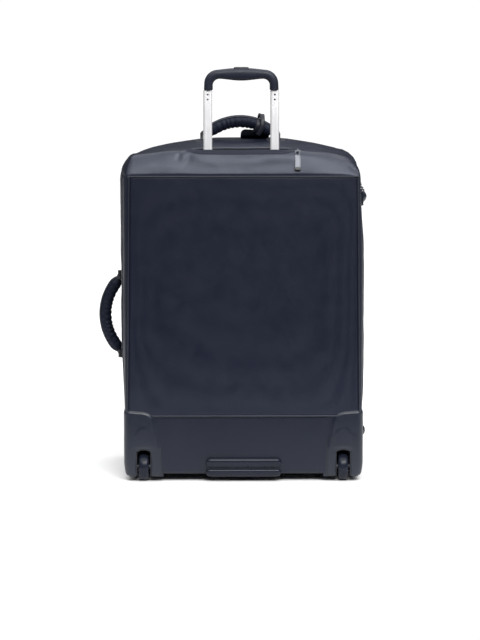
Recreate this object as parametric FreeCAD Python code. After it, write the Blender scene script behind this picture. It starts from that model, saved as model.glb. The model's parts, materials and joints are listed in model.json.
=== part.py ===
# Softside upright suitcase with a two-stage trolley handle, two corner wheels and a side-hinged front lid.
#
# Built in a working frame, in millimetres: X to the right seen from behind, Y from the back face towards
# the front, Z up from the floor. Every node is then moved by ORIGIN, so that the row's origin is the
# middle of the bounding box at floor level.
import FreeCAD, Part

import math
import os

V = FreeCAD.Vector
X_AXIS, Y_AXIS, Z_AXIS = V(1, 0, 0), V(0, 1, 0), V(0, 0, 1)

# ---- driving dimensions -------------------------------------------------------------------------
HALF_WIDTH = 222.0      # fabric body, half its width
DEPTH = 262.0           # fabric body, back face to front face
BASE_Z = 14.0           # underside of the fabric body
SEAM_Z = 576.0          # seam round the top of the upright walls
RIDGE_Z = 638.0         # highest point of the soft top
PLAN_RADIUS = 8.0       # upright corners of the body
WALL = 4.0              # fabric, foam and lining together
KICK_Z = 123.0          # seam between the back panel and the coated base cover
SEAM_X = 216.0          # seam between the back panel and the side panels
ARCH_RADIUS = 966.0     # crossways arch of the soft top
SHOULDER = [(212.0, 614.6), (228.0, 591.0)]   # slope that ends the arch on each side: (x, z)
# side view of the soft top, back seam to front corner: (y, z)
TOP_PROFILE = [(0.0, SEAM_Z), (22.0, 620.0), (46.0, 629.0), (130.0, RIDGE_Z), (215.0, 630.0),
               (DEPTH - 14.0, 606.0), (DEPTH, 584.0)]
SKIN_GAP = 0.15         # air between a piece and the skin that it lies on

LID_Y = 217.0           # plane between the case and the lid, through the middle of the main zip
ZIP_GAP = 5.0           # fabric edge to that plane
HINGE_X = HALF_WIDTH - 16.0   # the zip stops here and the fabric hinge begins
SPLIT = 0.2             # half the slit between the two halves of a zip
TAPE = 0.8              # zip tape thickness
CHAIN = 3.4             # width of one row of zip teeth
TAPE_WIDTH = 16.0

TROLLEY_X = -4.0        # the trolley handle stands a little left of the middle
TUBE_X = 62.5           # each tube from the trolley's middle
TUBE_Y = 32.0
TUBE_WALL = 1.3
INNER_SIZE = (16.5, 11.0)     # section of the upper stage, x by y
SLIDE_GAP = 0.3               # air between two stages
GRIP_Z = 736.0                # lower end of the grip's legs
GRIP_TOP = 779.0
GRIP_HALF = 71.0
GRIP_LEG = 17.0
GRIP_DEPTH = 19.0
BEZEL_Z = (552.0, 572.0)
SLOT_Y = (20.0, 44.0)         # handle slot in the soft top
SLOT_HALF = 104.0
SLOT_FULL = 80.0              # half the length over which the slot has its full width
BUTTON_HALF = 14.0
BUTTON_TRAVEL = 3.5
SPRING_FLOOR = 760.0
LOCK_Z = 312.0                # height of the lock pins in the feet of the upper stage
LOCK_R = 2.2
LOCK_TRAVEL = 2.5
ROD_R = 1.2                   # push rods, each ROD_INSET inwards from its tube's middle
ROD_INSET = 3.6

WHEEL_X = 188.0
WHEEL_Y = 16.0
WHEEL_R = 26.0
WHEEL_WIDTH = 19.0
HUB_R = 17.0
BEARING_R, BEARING_WIDTH = 9.5, 6.0
AXLE_R = 3.0
RUNNING = 0.05
POCKET_HALF = 14.3            # wheel pocket, half its clear width
POCKET_Y = 46.0
POCKET_Z = 58.0
POCKET_WALL = 2.5
GUARD_SKIN = 2.6
GUARD_TOP = 135.0

FOOT_X, FOOT_Y = 165.0, 184.0
SIDE_FOOT_Y = (59.0, 143.0)
SIDE_FOOT_Z = (87.0, 534.0)
SIDE_FOOT_BASE = 3.4          # thickness of a side foot's riveted base

TOP_HANDLE_X, TOP_HANDLE_Y, TOP_HANDLE_AXIS_Z = -5.0, 130.0, 646.5
SIDE_HANDLE_Z, SIDE_HANDLE_Y, SIDE_HANDLE_AXIS_X = 302.0, 120.0, -HALF_WIDTH - 11.0
HANDLE_R = 11.5
TOP_HANDLE_SPAN, SIDE_HANDLE_SPAN = 62.0, 70.0    # half the distance between a handle's two ends
TOP_HANDLE_RISE, SIDE_HANDLE_RISE = 19.0, 28.0
KNUCKLE_R, KNUCKLE = 5.5, 16.0
TAB = 7.0
PATCH = 2.5

WIRE = 0.9                    # radius of a zip pull's loop where it passes through the bail
BAIL = (3.5, 4.8)             # half length and height of a zip slider's bail
PIVOT_RISE = 1.9              # pull's pivot over its slider's body
SLIDER_BASE = 2.6             # height of a zip slider's body
SLIDER_TILT = 50.0            # the trolley zip's slider sits on the edge over the back slope
PULL_LEAN = 30.0              # its pull lies this far out from the upright, along the slope
TAG_SLOPE = 9.0               # the tag lies back along the soft top
TAG_X = 28.0                  # where the luggage tag's strap hangs on the top handle

NODES = {}


# ---- small helpers ------------------------------------------------------------------------------
def box(x0, x1, y0, y1, z0, z1):
    return Part.makeBox(x1 - x0, y1 - y0, z1 - z0, V(x0, y0, z0))


def rod(radius, start, end):
    way = end.sub(start)
    return Part.makeCylinder(radius, way.Length, start, way)


def prism(points, axis, start, length):
    """A closed outline of 2D points, or of (mid, end) pairs for arcs, pushed along X, Y or Z."""
    place = {"x": lambda a, b: V(start, a, b), "y": lambda a, b: V(a, start, b),
             "z": lambda a, b: V(a, b, start)}[axis]
    edges, here = [], place(*points[0])
    for step in points[1:] + [points[0]]:
        if isinstance(step[0], tuple):
            mid, end = place(*step[0]), place(*step[1])
            edges.append(Part.Arc(here, mid, end).toShape())
        else:
            end = place(*step)
            if end.isEqual(here, 1e-6):
                continue
            edges.append(Part.LineSegment(here, end).toShape())
        here = end
    way = {"x": X_AXIS, "y": Y_AXIS, "z": Z_AXIS}[axis] * length
    return Part.Face(Part.Wire(edges)).extrude(way)


def rounded(cx, cy, half_x, half_y, radius):
    """Outline of a rounded rectangle, as points and arcs for prism()."""
    bend = radius * (1 - math.sqrt(0.5))
    out = [(cx - half_x + radius, cy - half_y)]
    for sx, sy, first in ((1, -1, 0), (1, 1, 1), (-1, 1, 0), (-1, -1, 1)):
        corner = (cx + sx * half_x, cy + sy * half_y)
        along_x = (corner[0] - sx * radius, corner[1])
        along_y = (corner[0], corner[1] - sy * radius)
        middle = (corner[0] - sx * bend, corner[1] - sy * bend)
        start, end = (along_x, along_y) if first == 0 else (along_y, along_x)
        out += [start, (middle, end)]
    return out[1:]


def tube_prism(cx, cy, size, radius, z0, z1):
    return prism(rounded(cx, cy, size[0] / 2, size[1] / 2, radius), "z", z0, z1 - z0)


def offset_lines(points, grow):
    """A closed polygon, anticlockwise, with every side moved out by grow."""
    lines = []
    for (ax, ay), (bx, by) in zip(points, points[1:] + points[:1]):
        length = math.hypot(bx - ax, by - ay)
        nx, ny = (by - ay) / length, (ax - bx) / length
        lines.append((ax + nx * grow, ay + ny * grow, bx - ax, by - ay))
    out = []
    for (ax, ay, ux, uy), (bx, by, vx, vy) in zip(lines[-1:] + lines[:-1], lines):
        t = ((bx - ax) * vy - (by - ay) * vx) / (ux * vy - uy * vx)
        out.append((ax + ux * t, ay + uy * t))
    return out


def keep(name, *shapes):
    """Adds shapes' solids to a node, in the working frame."""
    for shape in shapes:
        solids = shape.Solids
        if not solids:
            raise ValueError(f"{name} has an empty shape")
        NODES.setdefault(name, []).extend(solids)


def drill(name, *tools):
    """Cuts tools out of a finished node."""
    NODES[name] = [s for old in NODES[name] for s in old.cut(list(tools)).Solids]


def mirror_x(shape, about=0.0):
    return shape.mirror(V(about, 0, 0), X_AXIS)


def body(grow):
    """The closed form of the whole fabric body, grown evenly by grow."""
    plan = prism(rounded(0, DEPTH / 2, HALF_WIDTH + grow, DEPTH / 2 + grow, PLAN_RADIUS + grow),
                 "z", BASE_Z - grow, RIDGE_Z)
    side = offset_lines([(DEPTH, BASE_Z)] + TOP_PROFILE[::-1] + [(0.0, BASE_Z)], grow)
    side = prism(side, "x", -HALF_WIDTH - 20, 2 * HALF_WIDTH + 40)
    centre = V(0, -20, RIDGE_Z - ARCH_RADIUS)
    arch = Part.makeCylinder(ARCH_RADIUS + grow, DEPTH + 40, centre, Y_AXIS)
    slopes = [(SHOULDER[1][0], 0.0), SHOULDER[1], SHOULDER[0], (150.0, 700.0)]
    slopes = offset_lines(slopes + [(-x, z) for x, z in reversed(slopes)], grow)
    shoulders = prism(slopes, "y", -20, DEPTH + 40)
    return plan.common(side).common(arch).common(shoulders)


def shell(outer, inner):
    return body(outer).cut(body(inner))


def slot_outline(grow):
    """The handle slot: full width over the trolley, tapering to where the zip's slider parks."""
    y0, y1, mid = SLOT_Y[0] - grow, SLOT_Y[1] + grow, sum(SLOT_Y) / 2
    full, end = SLOT_FULL + grow / 2, SLOT_HALF + grow
    left = [(TROLLEY_X - full, y1), (TROLLEY_X - end, mid + 2), (TROLLEY_X - end, mid - 2),
            (TROLLEY_X - full, y0)]
    right = [(2 * TROLLEY_X - x, y) for x, y in reversed(left)]
    return left + right


def screw(tip, way, length):
    """A pan-head screw: shank of radius 2 from tip to its head, which lies along way."""
    head = tip.add(way * length)
    return rod(2.0, tip, head).fuse(rod(3.8, head, head.add(way * 2.2)))


# ---- fabric body --------------------------------------------------------------------------------
def fabric_body():
    walls = shell(0, -WALL)
    zip_gap = box(-HALF_WIDTH - 1, HINGE_X, LID_Y - ZIP_GAP, LID_Y + ZIP_GAP, 0, RIDGE_Z + 5)
    slit = box(HINGE_X - 1, HALF_WIDTH + 1, LID_Y - SPLIT, LID_Y + SPLIT, 0, RIDGE_Z + 5)
    walls = walls.cut([zip_gap, slit])
    case = walls.common(box(-300, 300, -5, LID_Y, 0, 700))
    keep("lid_panel", walls.common(box(-300, 300, LID_Y, DEPTH + 5, 0, 700)))

    top = case.common(box(-300, 300, -5, LID_Y, SEAM_Z, 700))
    keep("top_panel", top.cut(prism(slot_outline(0), "z", SEAM_Z - 5, 100)))
    upright = case.common(box(-300, 300, -5, LID_Y, 0, SEAM_Z))
    middle = upright.common(box(-SEAM_X, SEAM_X, -5, LID_Y, 0, SEAM_Z))
    keep("back_panel", middle.common(box(-300, 300, -5, WALL, KICK_Z, SEAM_Z)))
    keep("base_cover", middle.common(box(-300, 300, -5, LID_Y, 0, KICK_Z)))
    keep("side_panel_left", upright.common(box(-300, -SEAM_X, -5, LID_Y, 0, SEAM_Z)))
    keep("side_panel_right", upright.common(box(SEAM_X, 300, -5, LID_Y, 0, SEAM_Z)))

    radius, y = 1.7, -1.7 - SKIN_GAP
    low, high = GUARD_TOP + 1.0, SEAM_Z
    cord = rod(radius, V(-SEAM_X, y, high), V(SEAM_X, y, high))
    for x in (-SEAM_X, SEAM_X):
        cord = cord.fuse([rod(radius, V(x, y, low), V(x, y, high)), Part.makeSphere(radius, V(x, y, high))])
    keep("back_piping", cord)


def stiffeners():
    keep("back_board", box(-198, 198, WALL + 0.3, WALL + 2.3, 52, 560))
    tray = shell(-WALL - 0.3, -WALL - 2.6)
    keep("base_tray", tray.common(box(-300, 300, -5, 194, 0, 48)))
    hoop = shell(-WALL - TAPE - 0.3, -WALL - TAPE - 3.3)
    keep("frame_hoop", hoop.common(box(-300, 300, 203, 209, 0, 700)))


def lining():
    """Liner that covers the board and boxes in the trolley tubes, and the two packing straps."""
    back, front, thick = WALL + 2.6, TUBE_Y + 13.0, 0.8
    left, right = TROLLEY_X - 98.0, TROLLEY_X + 98.0
    hat = [(-206.0, back), (left, back), (left, front), (right, front), (right, back), (206.0, back),
           (206.0, back + thick), (right + thick, back + thick), (right + thick, front + thick),
           (left - thick, front + thick), (left - thick, back + thick), (-206.0, back + thick)]
    keep("back_lining", prism(hat, "z", 64.0, 484.0))

    y0 = front + thick + 0.4
    buckle_half, reach = 24.0, HALF_WIDTH - WALL - 0.4
    for z in (205.0, 405.0):
        male = box(-buckle_half, -1.0, y0, y0 + 7.0, z - 15, z + 15)
        male = male.fuse(box(-1.0, 9.0, y0 + 2.6, y0 + 4.4, z - 8, z + 8))
        female = box(0.2, buckle_half, y0, y0 + 7.0, z - 16, z + 16)
        female = female.cut(box(0.0, 12.0, y0 + 2.2, y0 + 4.8, z - 9, z + 9))
        keep("packing_straps", male, female)
        for x0, x1 in ((-reach, -buckle_half), (buckle_half, reach)):
            keep("packing_straps", box(x0, x1, y0 + 2.7, y0 + 4.3, z - 12.5, z + 12.5))


# ---- zips ---------------------------------------------------------------------------------------
def main_zip():
    chain_top = -0.5
    clear = box(HINGE_X - 1.0, HALF_WIDTH + 1, 0, DEPTH, 0, 700)
    for node, way in (("main_zip_case_half", -1), ("main_zip_lid_half", 1)):
        def slab(width):
            ends = sorted((LID_Y + way * SPLIT, LID_Y + way * (SPLIT + width)))
            return box(-300, 300, ends[0], ends[1], 0, 700)
        tape = shell(-WALL, -WALL - TAPE).common(slab(TAPE_WIDTH))
        chain = shell(chain_top, -WALL).common(slab(CHAIN))
        keep(node, tape.fuse(chain).removeSplitter().cut(clear))


def pull_tab(width, length, thick):
    """A zip pull hanging down from its pivot at the origin: a square loop, then a flat tab with a slot."""
    half, top = 3.4, -8.0
    loop = box(-half, half, -WIRE, WIRE, top - 1.8, WIRE)
    loop = loop.cut(box(-half + 2 * WIRE, half - 2 * WIRE, -2, 2, top, -WIRE))
    plate = prism(rounded(0, (top - length) / 2, width / 2, (top + length) / 2, 1.6), "y", -thick / 2, thick)
    return loop.fuse(plate.cut(box(-width * 0.28, width * 0.28, -3, 3, -length + 4, -length + 6.5)))


def slider(length, width, cross):
    """A zip slider running along X on the plane z = 0, its bail lengthways, or across it when asked."""
    nose, heel = width * 0.3, width * 0.36
    base = prism([(-length / 2, -heel), (length / 2 - 3, -width / 2), (length / 2, -nose),
                  (length / 2, nose), (length / 2 - 3, width / 2), (-length / 2, heel)], "z", 0, SLIDER_BASE)
    half, height = BAIL
    post = 1.3
    bail = box(-half, half, -0.9, 0.9, SLIDER_BASE, SLIDER_BASE + height)
    bail = bail.cut(box(-half + post, half - post, -2, 2, SLIDER_BASE, SLIDER_BASE + height - post))
    if cross:
        bail.rotate(V(0, 0, 0), Z_AXIS, 90)
    return base.fuse(bail)


def main_zip_sliders():
    """Two sliders on the upright run of the zip at the handle side, each with its hanging pull."""
    surface = -HALF_WIDTH - 0.3
    pivots = {}
    for node, z, turn in (("a", 500.0, 180), ("b", 446.0, 0)):
        piece = slider(11.0, 9.0, False)
        piece.rotate(V(0, 0, 0), Z_AXIS, turn)
        piece.rotate(V(0, 0, 0), Y_AXIS, -90)
        piece.translate(V(surface, LID_Y, z))
        keep(f"main_zip_slider_{node}", piece)
        pivots[node] = V(surface - SLIDER_BASE - PIVOT_RISE, LID_Y, z)
        pull = pull_tab(7.0, 34.0, 1.8)
        pull.rotate(V(0, 0, 0), Z_AXIS, 90)
        pull.translate(pivots[node])
        keep(f"main_zip_pull_{node}", pull)
    return pivots


def trolley_zip():
    outline, ring = slot_outline(0.3), slot_outline(7.5)
    skin = body(1.1).cut(body(SKIN_GAP))
    tape = skin.common(prism(ring, "z", SEAM_Z, 100)).cut(prism(outline, "z", SEAM_Z, 100))
    keep("trolley_zip_tape", tape.common(box(-300, 300, -5, SLOT_Y[1] + 7.5, SEAM_Z, 700)))

    tilt = math.radians(SLIDER_TILT)
    normal = V(0, -math.sin(tilt), math.cos(tilt))
    seat = V(TROLLEY_X + SLOT_HALF + 1.0, *TOP_PROFILE[1]).add(normal * 1.6)
    piece = slider(11.0, 8.5, True)
    piece.rotate(V(0, 0, 0), X_AXIS, SLIDER_TILT)
    piece.translate(seat)
    keep("trolley_zip_slider", piece)

    pivot = seat.add(normal * (SLIDER_BASE + PIVOT_RISE))
    pull = pull_tab(11.0, 42.0, 1.8)
    pull.rotate(V(0, 0, 0), X_AXIS, -PULL_LEAN)
    pull.translate(pivot)
    keep("trolley_zip_pull", pull)
    return pivot


# ---- lid and its pocket -------------------------------------------------------------------------
def lid_fittings():
    face = DEPTH + SKIN_GAP
    panel = prism(rounded(0, 292, 186, 232, 26), "y", face, 6.0)
    zip_z = 470.0
    groove = box(-172, 172, face + 3.4, face + 7, zip_z - 9, zip_z + 9)
    keep("front_pocket", panel.cut(groove))
    tape = box(-171.6, 171.6, face + 3.6, face + 4.4, zip_z - 8.5, zip_z + 8.5)
    chain = box(-168, 168, face + 4.4, face + 5.8, zip_z - 3, zip_z + 3)
    keep("pocket_zip_tape", tape.fuse(chain))

    seat = V(158.0, face + 6.1, zip_z)
    piece = slider(11.0, 8.5, True)
    piece.rotate(V(0, 0, 0), X_AXIS, -90)
    piece.translate(seat)
    keep("pocket_zip_slider", piece)
    pivot = seat.add(Y_AXIS * (SLIDER_BASE + PIVOT_RISE))
    pull = pull_tab(8.0, 34.0, 1.8)
    pull.translate(pivot)
    keep("pocket_zip_pull", pull)
    return pivot


# ---- corner guards, wheels, feet ----------------------------------------------------------------
def guard_outline():
    """Outline of a corner guard seen from behind, on the right."""
    out, low = HALF_WIDTH + GUARD_SKIN + 1, BASE_Z - GUARD_SKIN - 1
    return [(156.0, low), (157.5, 65.0), (167.0, 115.0), ((171.5, 126.0), (182.0, 131.5)),
            (out, GUARD_TOP), (out, low)]


def guard_side_outline():
    """Outline of a corner guard seen from the side, as (y, z)."""
    low, depth = BASE_Z - GUARD_SKIN - 1, 78.0
    return [(-6.0, low), (depth, low), (depth, 48.0), (46.0, 62.0), (40.0, 120.0),
            ((36.0, 132.0), (26.0, GUARD_TOP)), (-6.0, GUARD_TOP)]


def corner_guard():
    region = prism(guard_outline(), "y", -6, 100).common(prism(guard_side_outline(), "x", 0, 300))
    skin = body(GUARD_SKIN).cut(body(SKIN_GAP)).common(region)
    out_x = (WHEEL_X - POCKET_HALF - POCKET_WALL, WHEEL_X + POCKET_HALF + POCKET_WALL)
    low = BASE_Z - GUARD_SKIN
    pocket = box(*out_x, -GUARD_SKIN, POCKET_Y + POCKET_WALL, low, POCKET_Z + POCKET_WALL)
    for side in (out_x[0] - 3.0, out_x[1]):
        pocket = pocket.fuse(rod(7.0, V(side, WHEEL_Y, WHEEL_R), V(side + 3.0, WHEEL_Y, WHEEL_R)))
    cavity = prism([(WHEEL_X - POCKET_HALF, low - 1), (WHEEL_X - POCKET_HALF, POCKET_Z - 5),
                    ((WHEEL_X, POCKET_Z), (WHEEL_X + POCKET_HALF, POCKET_Z - 5)),
                    (WHEEL_X + POCKET_HALF, low - 1)], "y", -GUARD_SKIN - 1, POCKET_Y + GUARD_SKIN + 1)
    bore = rod(AXLE_R, V(out_x[0] - 5, WHEEL_Y, WHEEL_R), V(out_x[1] + 5, WHEEL_Y, WHEEL_R))
    return skin.fuse(pocket).cut([cavity, bore])


def pocket_envelope(grow):
    """Space that a wheel pocket and its bosses take inside the case."""
    x0 = WHEEL_X - POCKET_HALF - POCKET_WALL - grow
    x1 = WHEEL_X + POCKET_HALF + POCKET_WALL + grow
    block = box(x0, x1, -5, POCKET_Y + POCKET_WALL + grow, 0, POCKET_Z + POCKET_WALL + grow)
    return block.fuse(rod(8.5, V(x0 - 6.5, WHEEL_Y, WHEEL_R), V(x1 + 6.5, WHEEL_Y, WHEEL_R)))


def wheel_profile(half, radius, bore, crown):
    """A ring about the X axis whose rim is crowned, as a solid centred on the origin."""
    rim = [(-half, bore), (-half, radius - crown), ((0, radius), (half, radius - crown)), (half, bore)]
    edges, here = [], V(rim[0][0], 0, rim[0][1])
    for step in rim[1:] + [rim[0]]:
        if isinstance(step[0], tuple):
            end = V(step[1][0], 0, step[1][1])
            edges.append(Part.Arc(here, V(step[0][0], 0, step[0][1]), end).toShape())
        else:
            end = V(step[0], 0, step[1])
            edges.append(Part.LineSegment(here, end).toShape())
        here = end
    return Part.Face(Part.Wire(edges)).revolve(V(0, 0, 0), X_AXIS, 360)


def wheel_parts():
    """Tyre, hub, bearings, axle with its clip, and spacers of one wheel, about the origin."""
    tyre = wheel_profile(WHEEL_WIDTH / 2, WHEEL_R, HUB_R, 6.0)
    half = WHEEL_WIDTH / 2 - 1.0
    hub = rod(HUB_R, V(-half, 0, 0), V(half, 0, 0))
    seat = half - BEARING_WIDTH
    web = 1.6
    for way in (-1, 1):
        hub = hub.cut(rod(BEARING_R, V(way * seat, 0, 0), V(way * (half + 1), 0, 0)))
        ring = rod(HUB_R - 2.2, V(way * web, 0, 0), V(way * (half + 1), 0, 0))
        hub = hub.cut(ring.cut(rod(BEARING_R + 1.8, V(way * web, 0, 0), V(way * (half + 1), 0, 0))))
    for k in range(5):
        angle = 2 * math.pi * k / 5
        rib = box(-half + 1.2, half - 1.2, -0.9, 0.9, BEARING_R + 1.7, HUB_R - 2.1)
        rib.rotate(V(0, 0, 0), X_AXIS, math.degrees(angle))
        hub = hub.fuse(rib)
    hub = hub.cut(rod(AXLE_R + 1.5, V(-half, 0, 0), V(half, 0, 0)))
    bearings = []
    for way in (-1, 1):
        ends = sorted((way * seat, way * half))
        ring = rod(BEARING_R, V(ends[0], 0, 0), V(ends[1], 0, 0))
        ring = ring.cut(rod(AXLE_R + RUNNING, V(ends[0] - 1, 0, 0), V(ends[1] + 1, 0, 0)))
        face = way * half
        shield = sorted((face, face - way * 0.5))
        groove = rod(BEARING_R - 1.4, V(shield[0], 0, 0), V(shield[1], 0, 0))
        ring = ring.cut(groove.cut(rod(AXLE_R + 1.8, V(shield[0], 0, 0), V(shield[1], 0, 0))))
        bearings.append(ring)
    outside = POCKET_HALF + POCKET_WALL + 3.0
    axle = rod(AXLE_R, V(-outside - 2.5, 0, 0), V(outside, 0, 0))
    axle = axle.fuse(rod(5.2, V(outside, 0, 0), V(outside + 2.0, 0, 0)))
    clip = rod(5.0, V(-outside - 1.3, 0, 0), V(-outside - 0.3, 0, 0)).cut(
        rod(AXLE_R + RUNNING, V(-outside - 2, 0, 0), V(-outside, 0, 0)))
    spacers = []
    for way in (-1, 1):
        ends = sorted((way * (half + 0.15), way * (POCKET_HALF - 0.1)))
        tube = rod(4.6, V(ends[0], 0, 0), V(ends[1], 0, 0))
        spacers.append(tube.cut(rod(AXLE_R + RUNNING, V(ends[0] - 1, 0, 0), V(ends[1] + 1, 0, 0))))
    return tyre, hub, bearings, [axle, clip], spacers


def running_gear():
    guard = corner_guard()
    keep("corner_guard_right", guard)
    keep("corner_guard_left", mirror_x(guard))
    tyre, hub, bearings, axle, spacers = wheel_parts()
    for side, x in (("left", -WHEEL_X), ("right", WHEEL_X)):
        def at(shape):
            piece = mirror_x(shape) if side == "left" else shape.copy()
            piece.translate(V(x, WHEEL_Y, WHEEL_R))
            return piece
        keep(f"wheel_tyre_{side}", at(tyre))
        keep(f"wheel_hub_{side}", at(hub))
        keep(f"wheel_bearings_{side}", *[at(b) for b in bearings])
        keep("wheel_axles", *[at(a) for a in axle + spacers])
    envelope = pocket_envelope(0.3)
    for node in ("base_cover", "base_tray", "back_board"):
        drill(node, envelope, mirror_x(envelope))


def skid_bumper():
    """Back-edge bumper: two moulded ribs with a groove between, turning under the case on three skids."""
    half, face, under = 71.0, -SKIN_GAP, BASE_Z - SKIN_GAP
    shape = box(-half + 3, half - 3, face - 2.6, face, under - 3.0, 43.0)
    shape = shape.fuse(box(-half + 3, half - 3, face - 2.6, 58.0, under - 3.0, under))
    upper = [(face, 27.5), (face - 6.0, 28.5), (face - 7.6, 37.0), ((face - 6.6, 43.2), (face - 1.5, 44.5)),
             (face, 44.5)]
    lower = [(face, 13.0), (face - 6.4, 13.4), ((face - 8.6, 19.0), (face - 5.6, 24.0)), (face, 24.4)]
    for section, low, high in ((upper, 27.5, 44.5), (lower, 13.0, 24.4)):
        middle, reach = (low + high) / 2, (high - low) / 2
        ends = prism(rounded(0, middle, half, reach, reach - 0.5), "y", -20, 25)
        shape = shape.fuse(prism(section, "x", -half, 2 * half).common(ends))
    for y in (3.0, 24.0, 45.0):
        skid = rod(3.4, V(-half + 5, y, under - 3.0), V(half - 5, y, under - 3.0))
        shape = shape.fuse(skid.common(box(-half, half, -20, 60, 0, under)))
    return shape.removeSplitter()


def feet():
    bumper = skid_bumper()
    keep("skid_bumper", bumper)
    under = BASE_Z - SKIN_GAP
    for x in (-FOOT_X, FOOT_X):
        foot = prism(rounded(x, FOOT_Y, 24.0, 11.0, 9.0), "z", 2.5, under - 2.5)
        foot = foot.fuse(prism(rounded(x, FOOT_Y, 21.5, 8.5, 6.5), "z", 0, 2.5))
        keep("front_feet", foot)

    side = HALF_WIDTH + SKIN_GAP
    for y in SIDE_FOOT_Y:
        for z in SIDE_FOOT_Z:
            base = prism(rounded(y, z, 10.5, 17.5, 9.0), "x", side, SIDE_FOOT_BASE)
            dome = Part.makeSphere(12.5, V(side + SIDE_FOOT_BASE - 6.0, y, z))
            dome = dome.common(box(side + SIDE_FOOT_BASE, side + 20, y - 20, y + 20, z - 20, z + 20))
            keep("side_feet", base.fuse(dome))


def fasteners():
    """Screws under the base and rivets through the side feet and handle anchors, each in a drilled hole."""
    tray_top = BASE_Z + WALL + 2.6
    for x in (-52.0, 52.0):
        for y in (13.5, 34.5):
            keep("base_screws", screw(V(x, y, tray_top + 12), V(0, 0, -1), tray_top + 12 - 10.6))
    for x in (-FOOT_X, FOOT_X):
        keep("base_screws", screw(V(x, FOOT_Y, tray_top + 2), V(0, 0, -1), tray_top + 2 - 6.0))
    for x in (-HALF_WIDTH + 62.0, HALF_WIDTH - 62.0):
        keep("base_screws", screw(V(x, 24.0, tray_top + 2), V(0, 0, -1), tray_top + 2 - 11.6))
    holes = [grown(s, 0.1) for s in NODES["base_screws"]]
    mouths = [rod(4.2, V(s.BoundBox.Center.x, s.BoundBox.Center.y, -1),
                  V(s.BoundBox.Center.x, s.BoundBox.Center.y, s.BoundBox.ZMin + 0.5))
              for s in NODES["base_screws"]]
    for node in ("base_cover", "base_tray", "skid_bumper", "front_feet", "tube_bracket",
                 "corner_guard_left", "corner_guard_right"):
        drill(node, *holes, *mouths)

    face = HALF_WIDTH + SKIN_GAP + SIDE_FOOT_BASE + 0.1
    for y in SIDE_FOOT_Y:
        for z in SIDE_FOOT_Z:
            for dz in (-14.2, 14.2):
                tip = V(HALF_WIDTH - WALL - 0.8, y, z + dz)
                keep("rivets", rod(1.6, tip, V(face, y, z + dz)).fuse(
                    rod(2.5, V(face, y, z + dz), V(face + 1.0, y, z + dz))))
    rivets = [grown(s, 0.05) for s in NODES["rivets"]]
    for node in ("side_feet", "side_panel_right"):
        drill(node, *rivets)


def grown(shape, gap):
    """Hole for a headed pin: the same pin, gap wider all round."""
    cylinders = [f for f in shape.Faces if isinstance(f.Surface, Part.Cylinder)]
    tools = []
    for face in cylinders:
        axis, centre = face.Surface.Axis, face.Surface.Center
        span = [v.Point.sub(centre).dot(axis) for v in face.Vertexes]
        tools.append(rod(face.Surface.Radius + gap, centre.add(axis * (min(span) - gap)),
                         centre.add(axis * (max(span) + gap))))
    return tools[0].fuse(tools[1:])


# ---- trolley handle -----------------------------------------------------------------------------
def stage_sizes():
    """Outer section of the upper, middle and lower stages."""
    grow = 2 * (TUBE_WALL + SLIDE_GAP)
    return [(INNER_SIZE[0] + k * grow, INNER_SIZE[1] + k * grow) for k in range(3)]


def stage_tube(x, stage, z0, z1, radius):
    size = stage_sizes()[stage]
    hollow = (size[0] - 2 * TUBE_WALL, size[1] - 2 * TUBE_WALL)
    return tube_prism(x, TUBE_Y, size, radius, z0, z1).cut(
        tube_prism(x, TUBE_Y, hollow, radius - TUBE_WALL, z0 - 1, z1 + 1))


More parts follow.
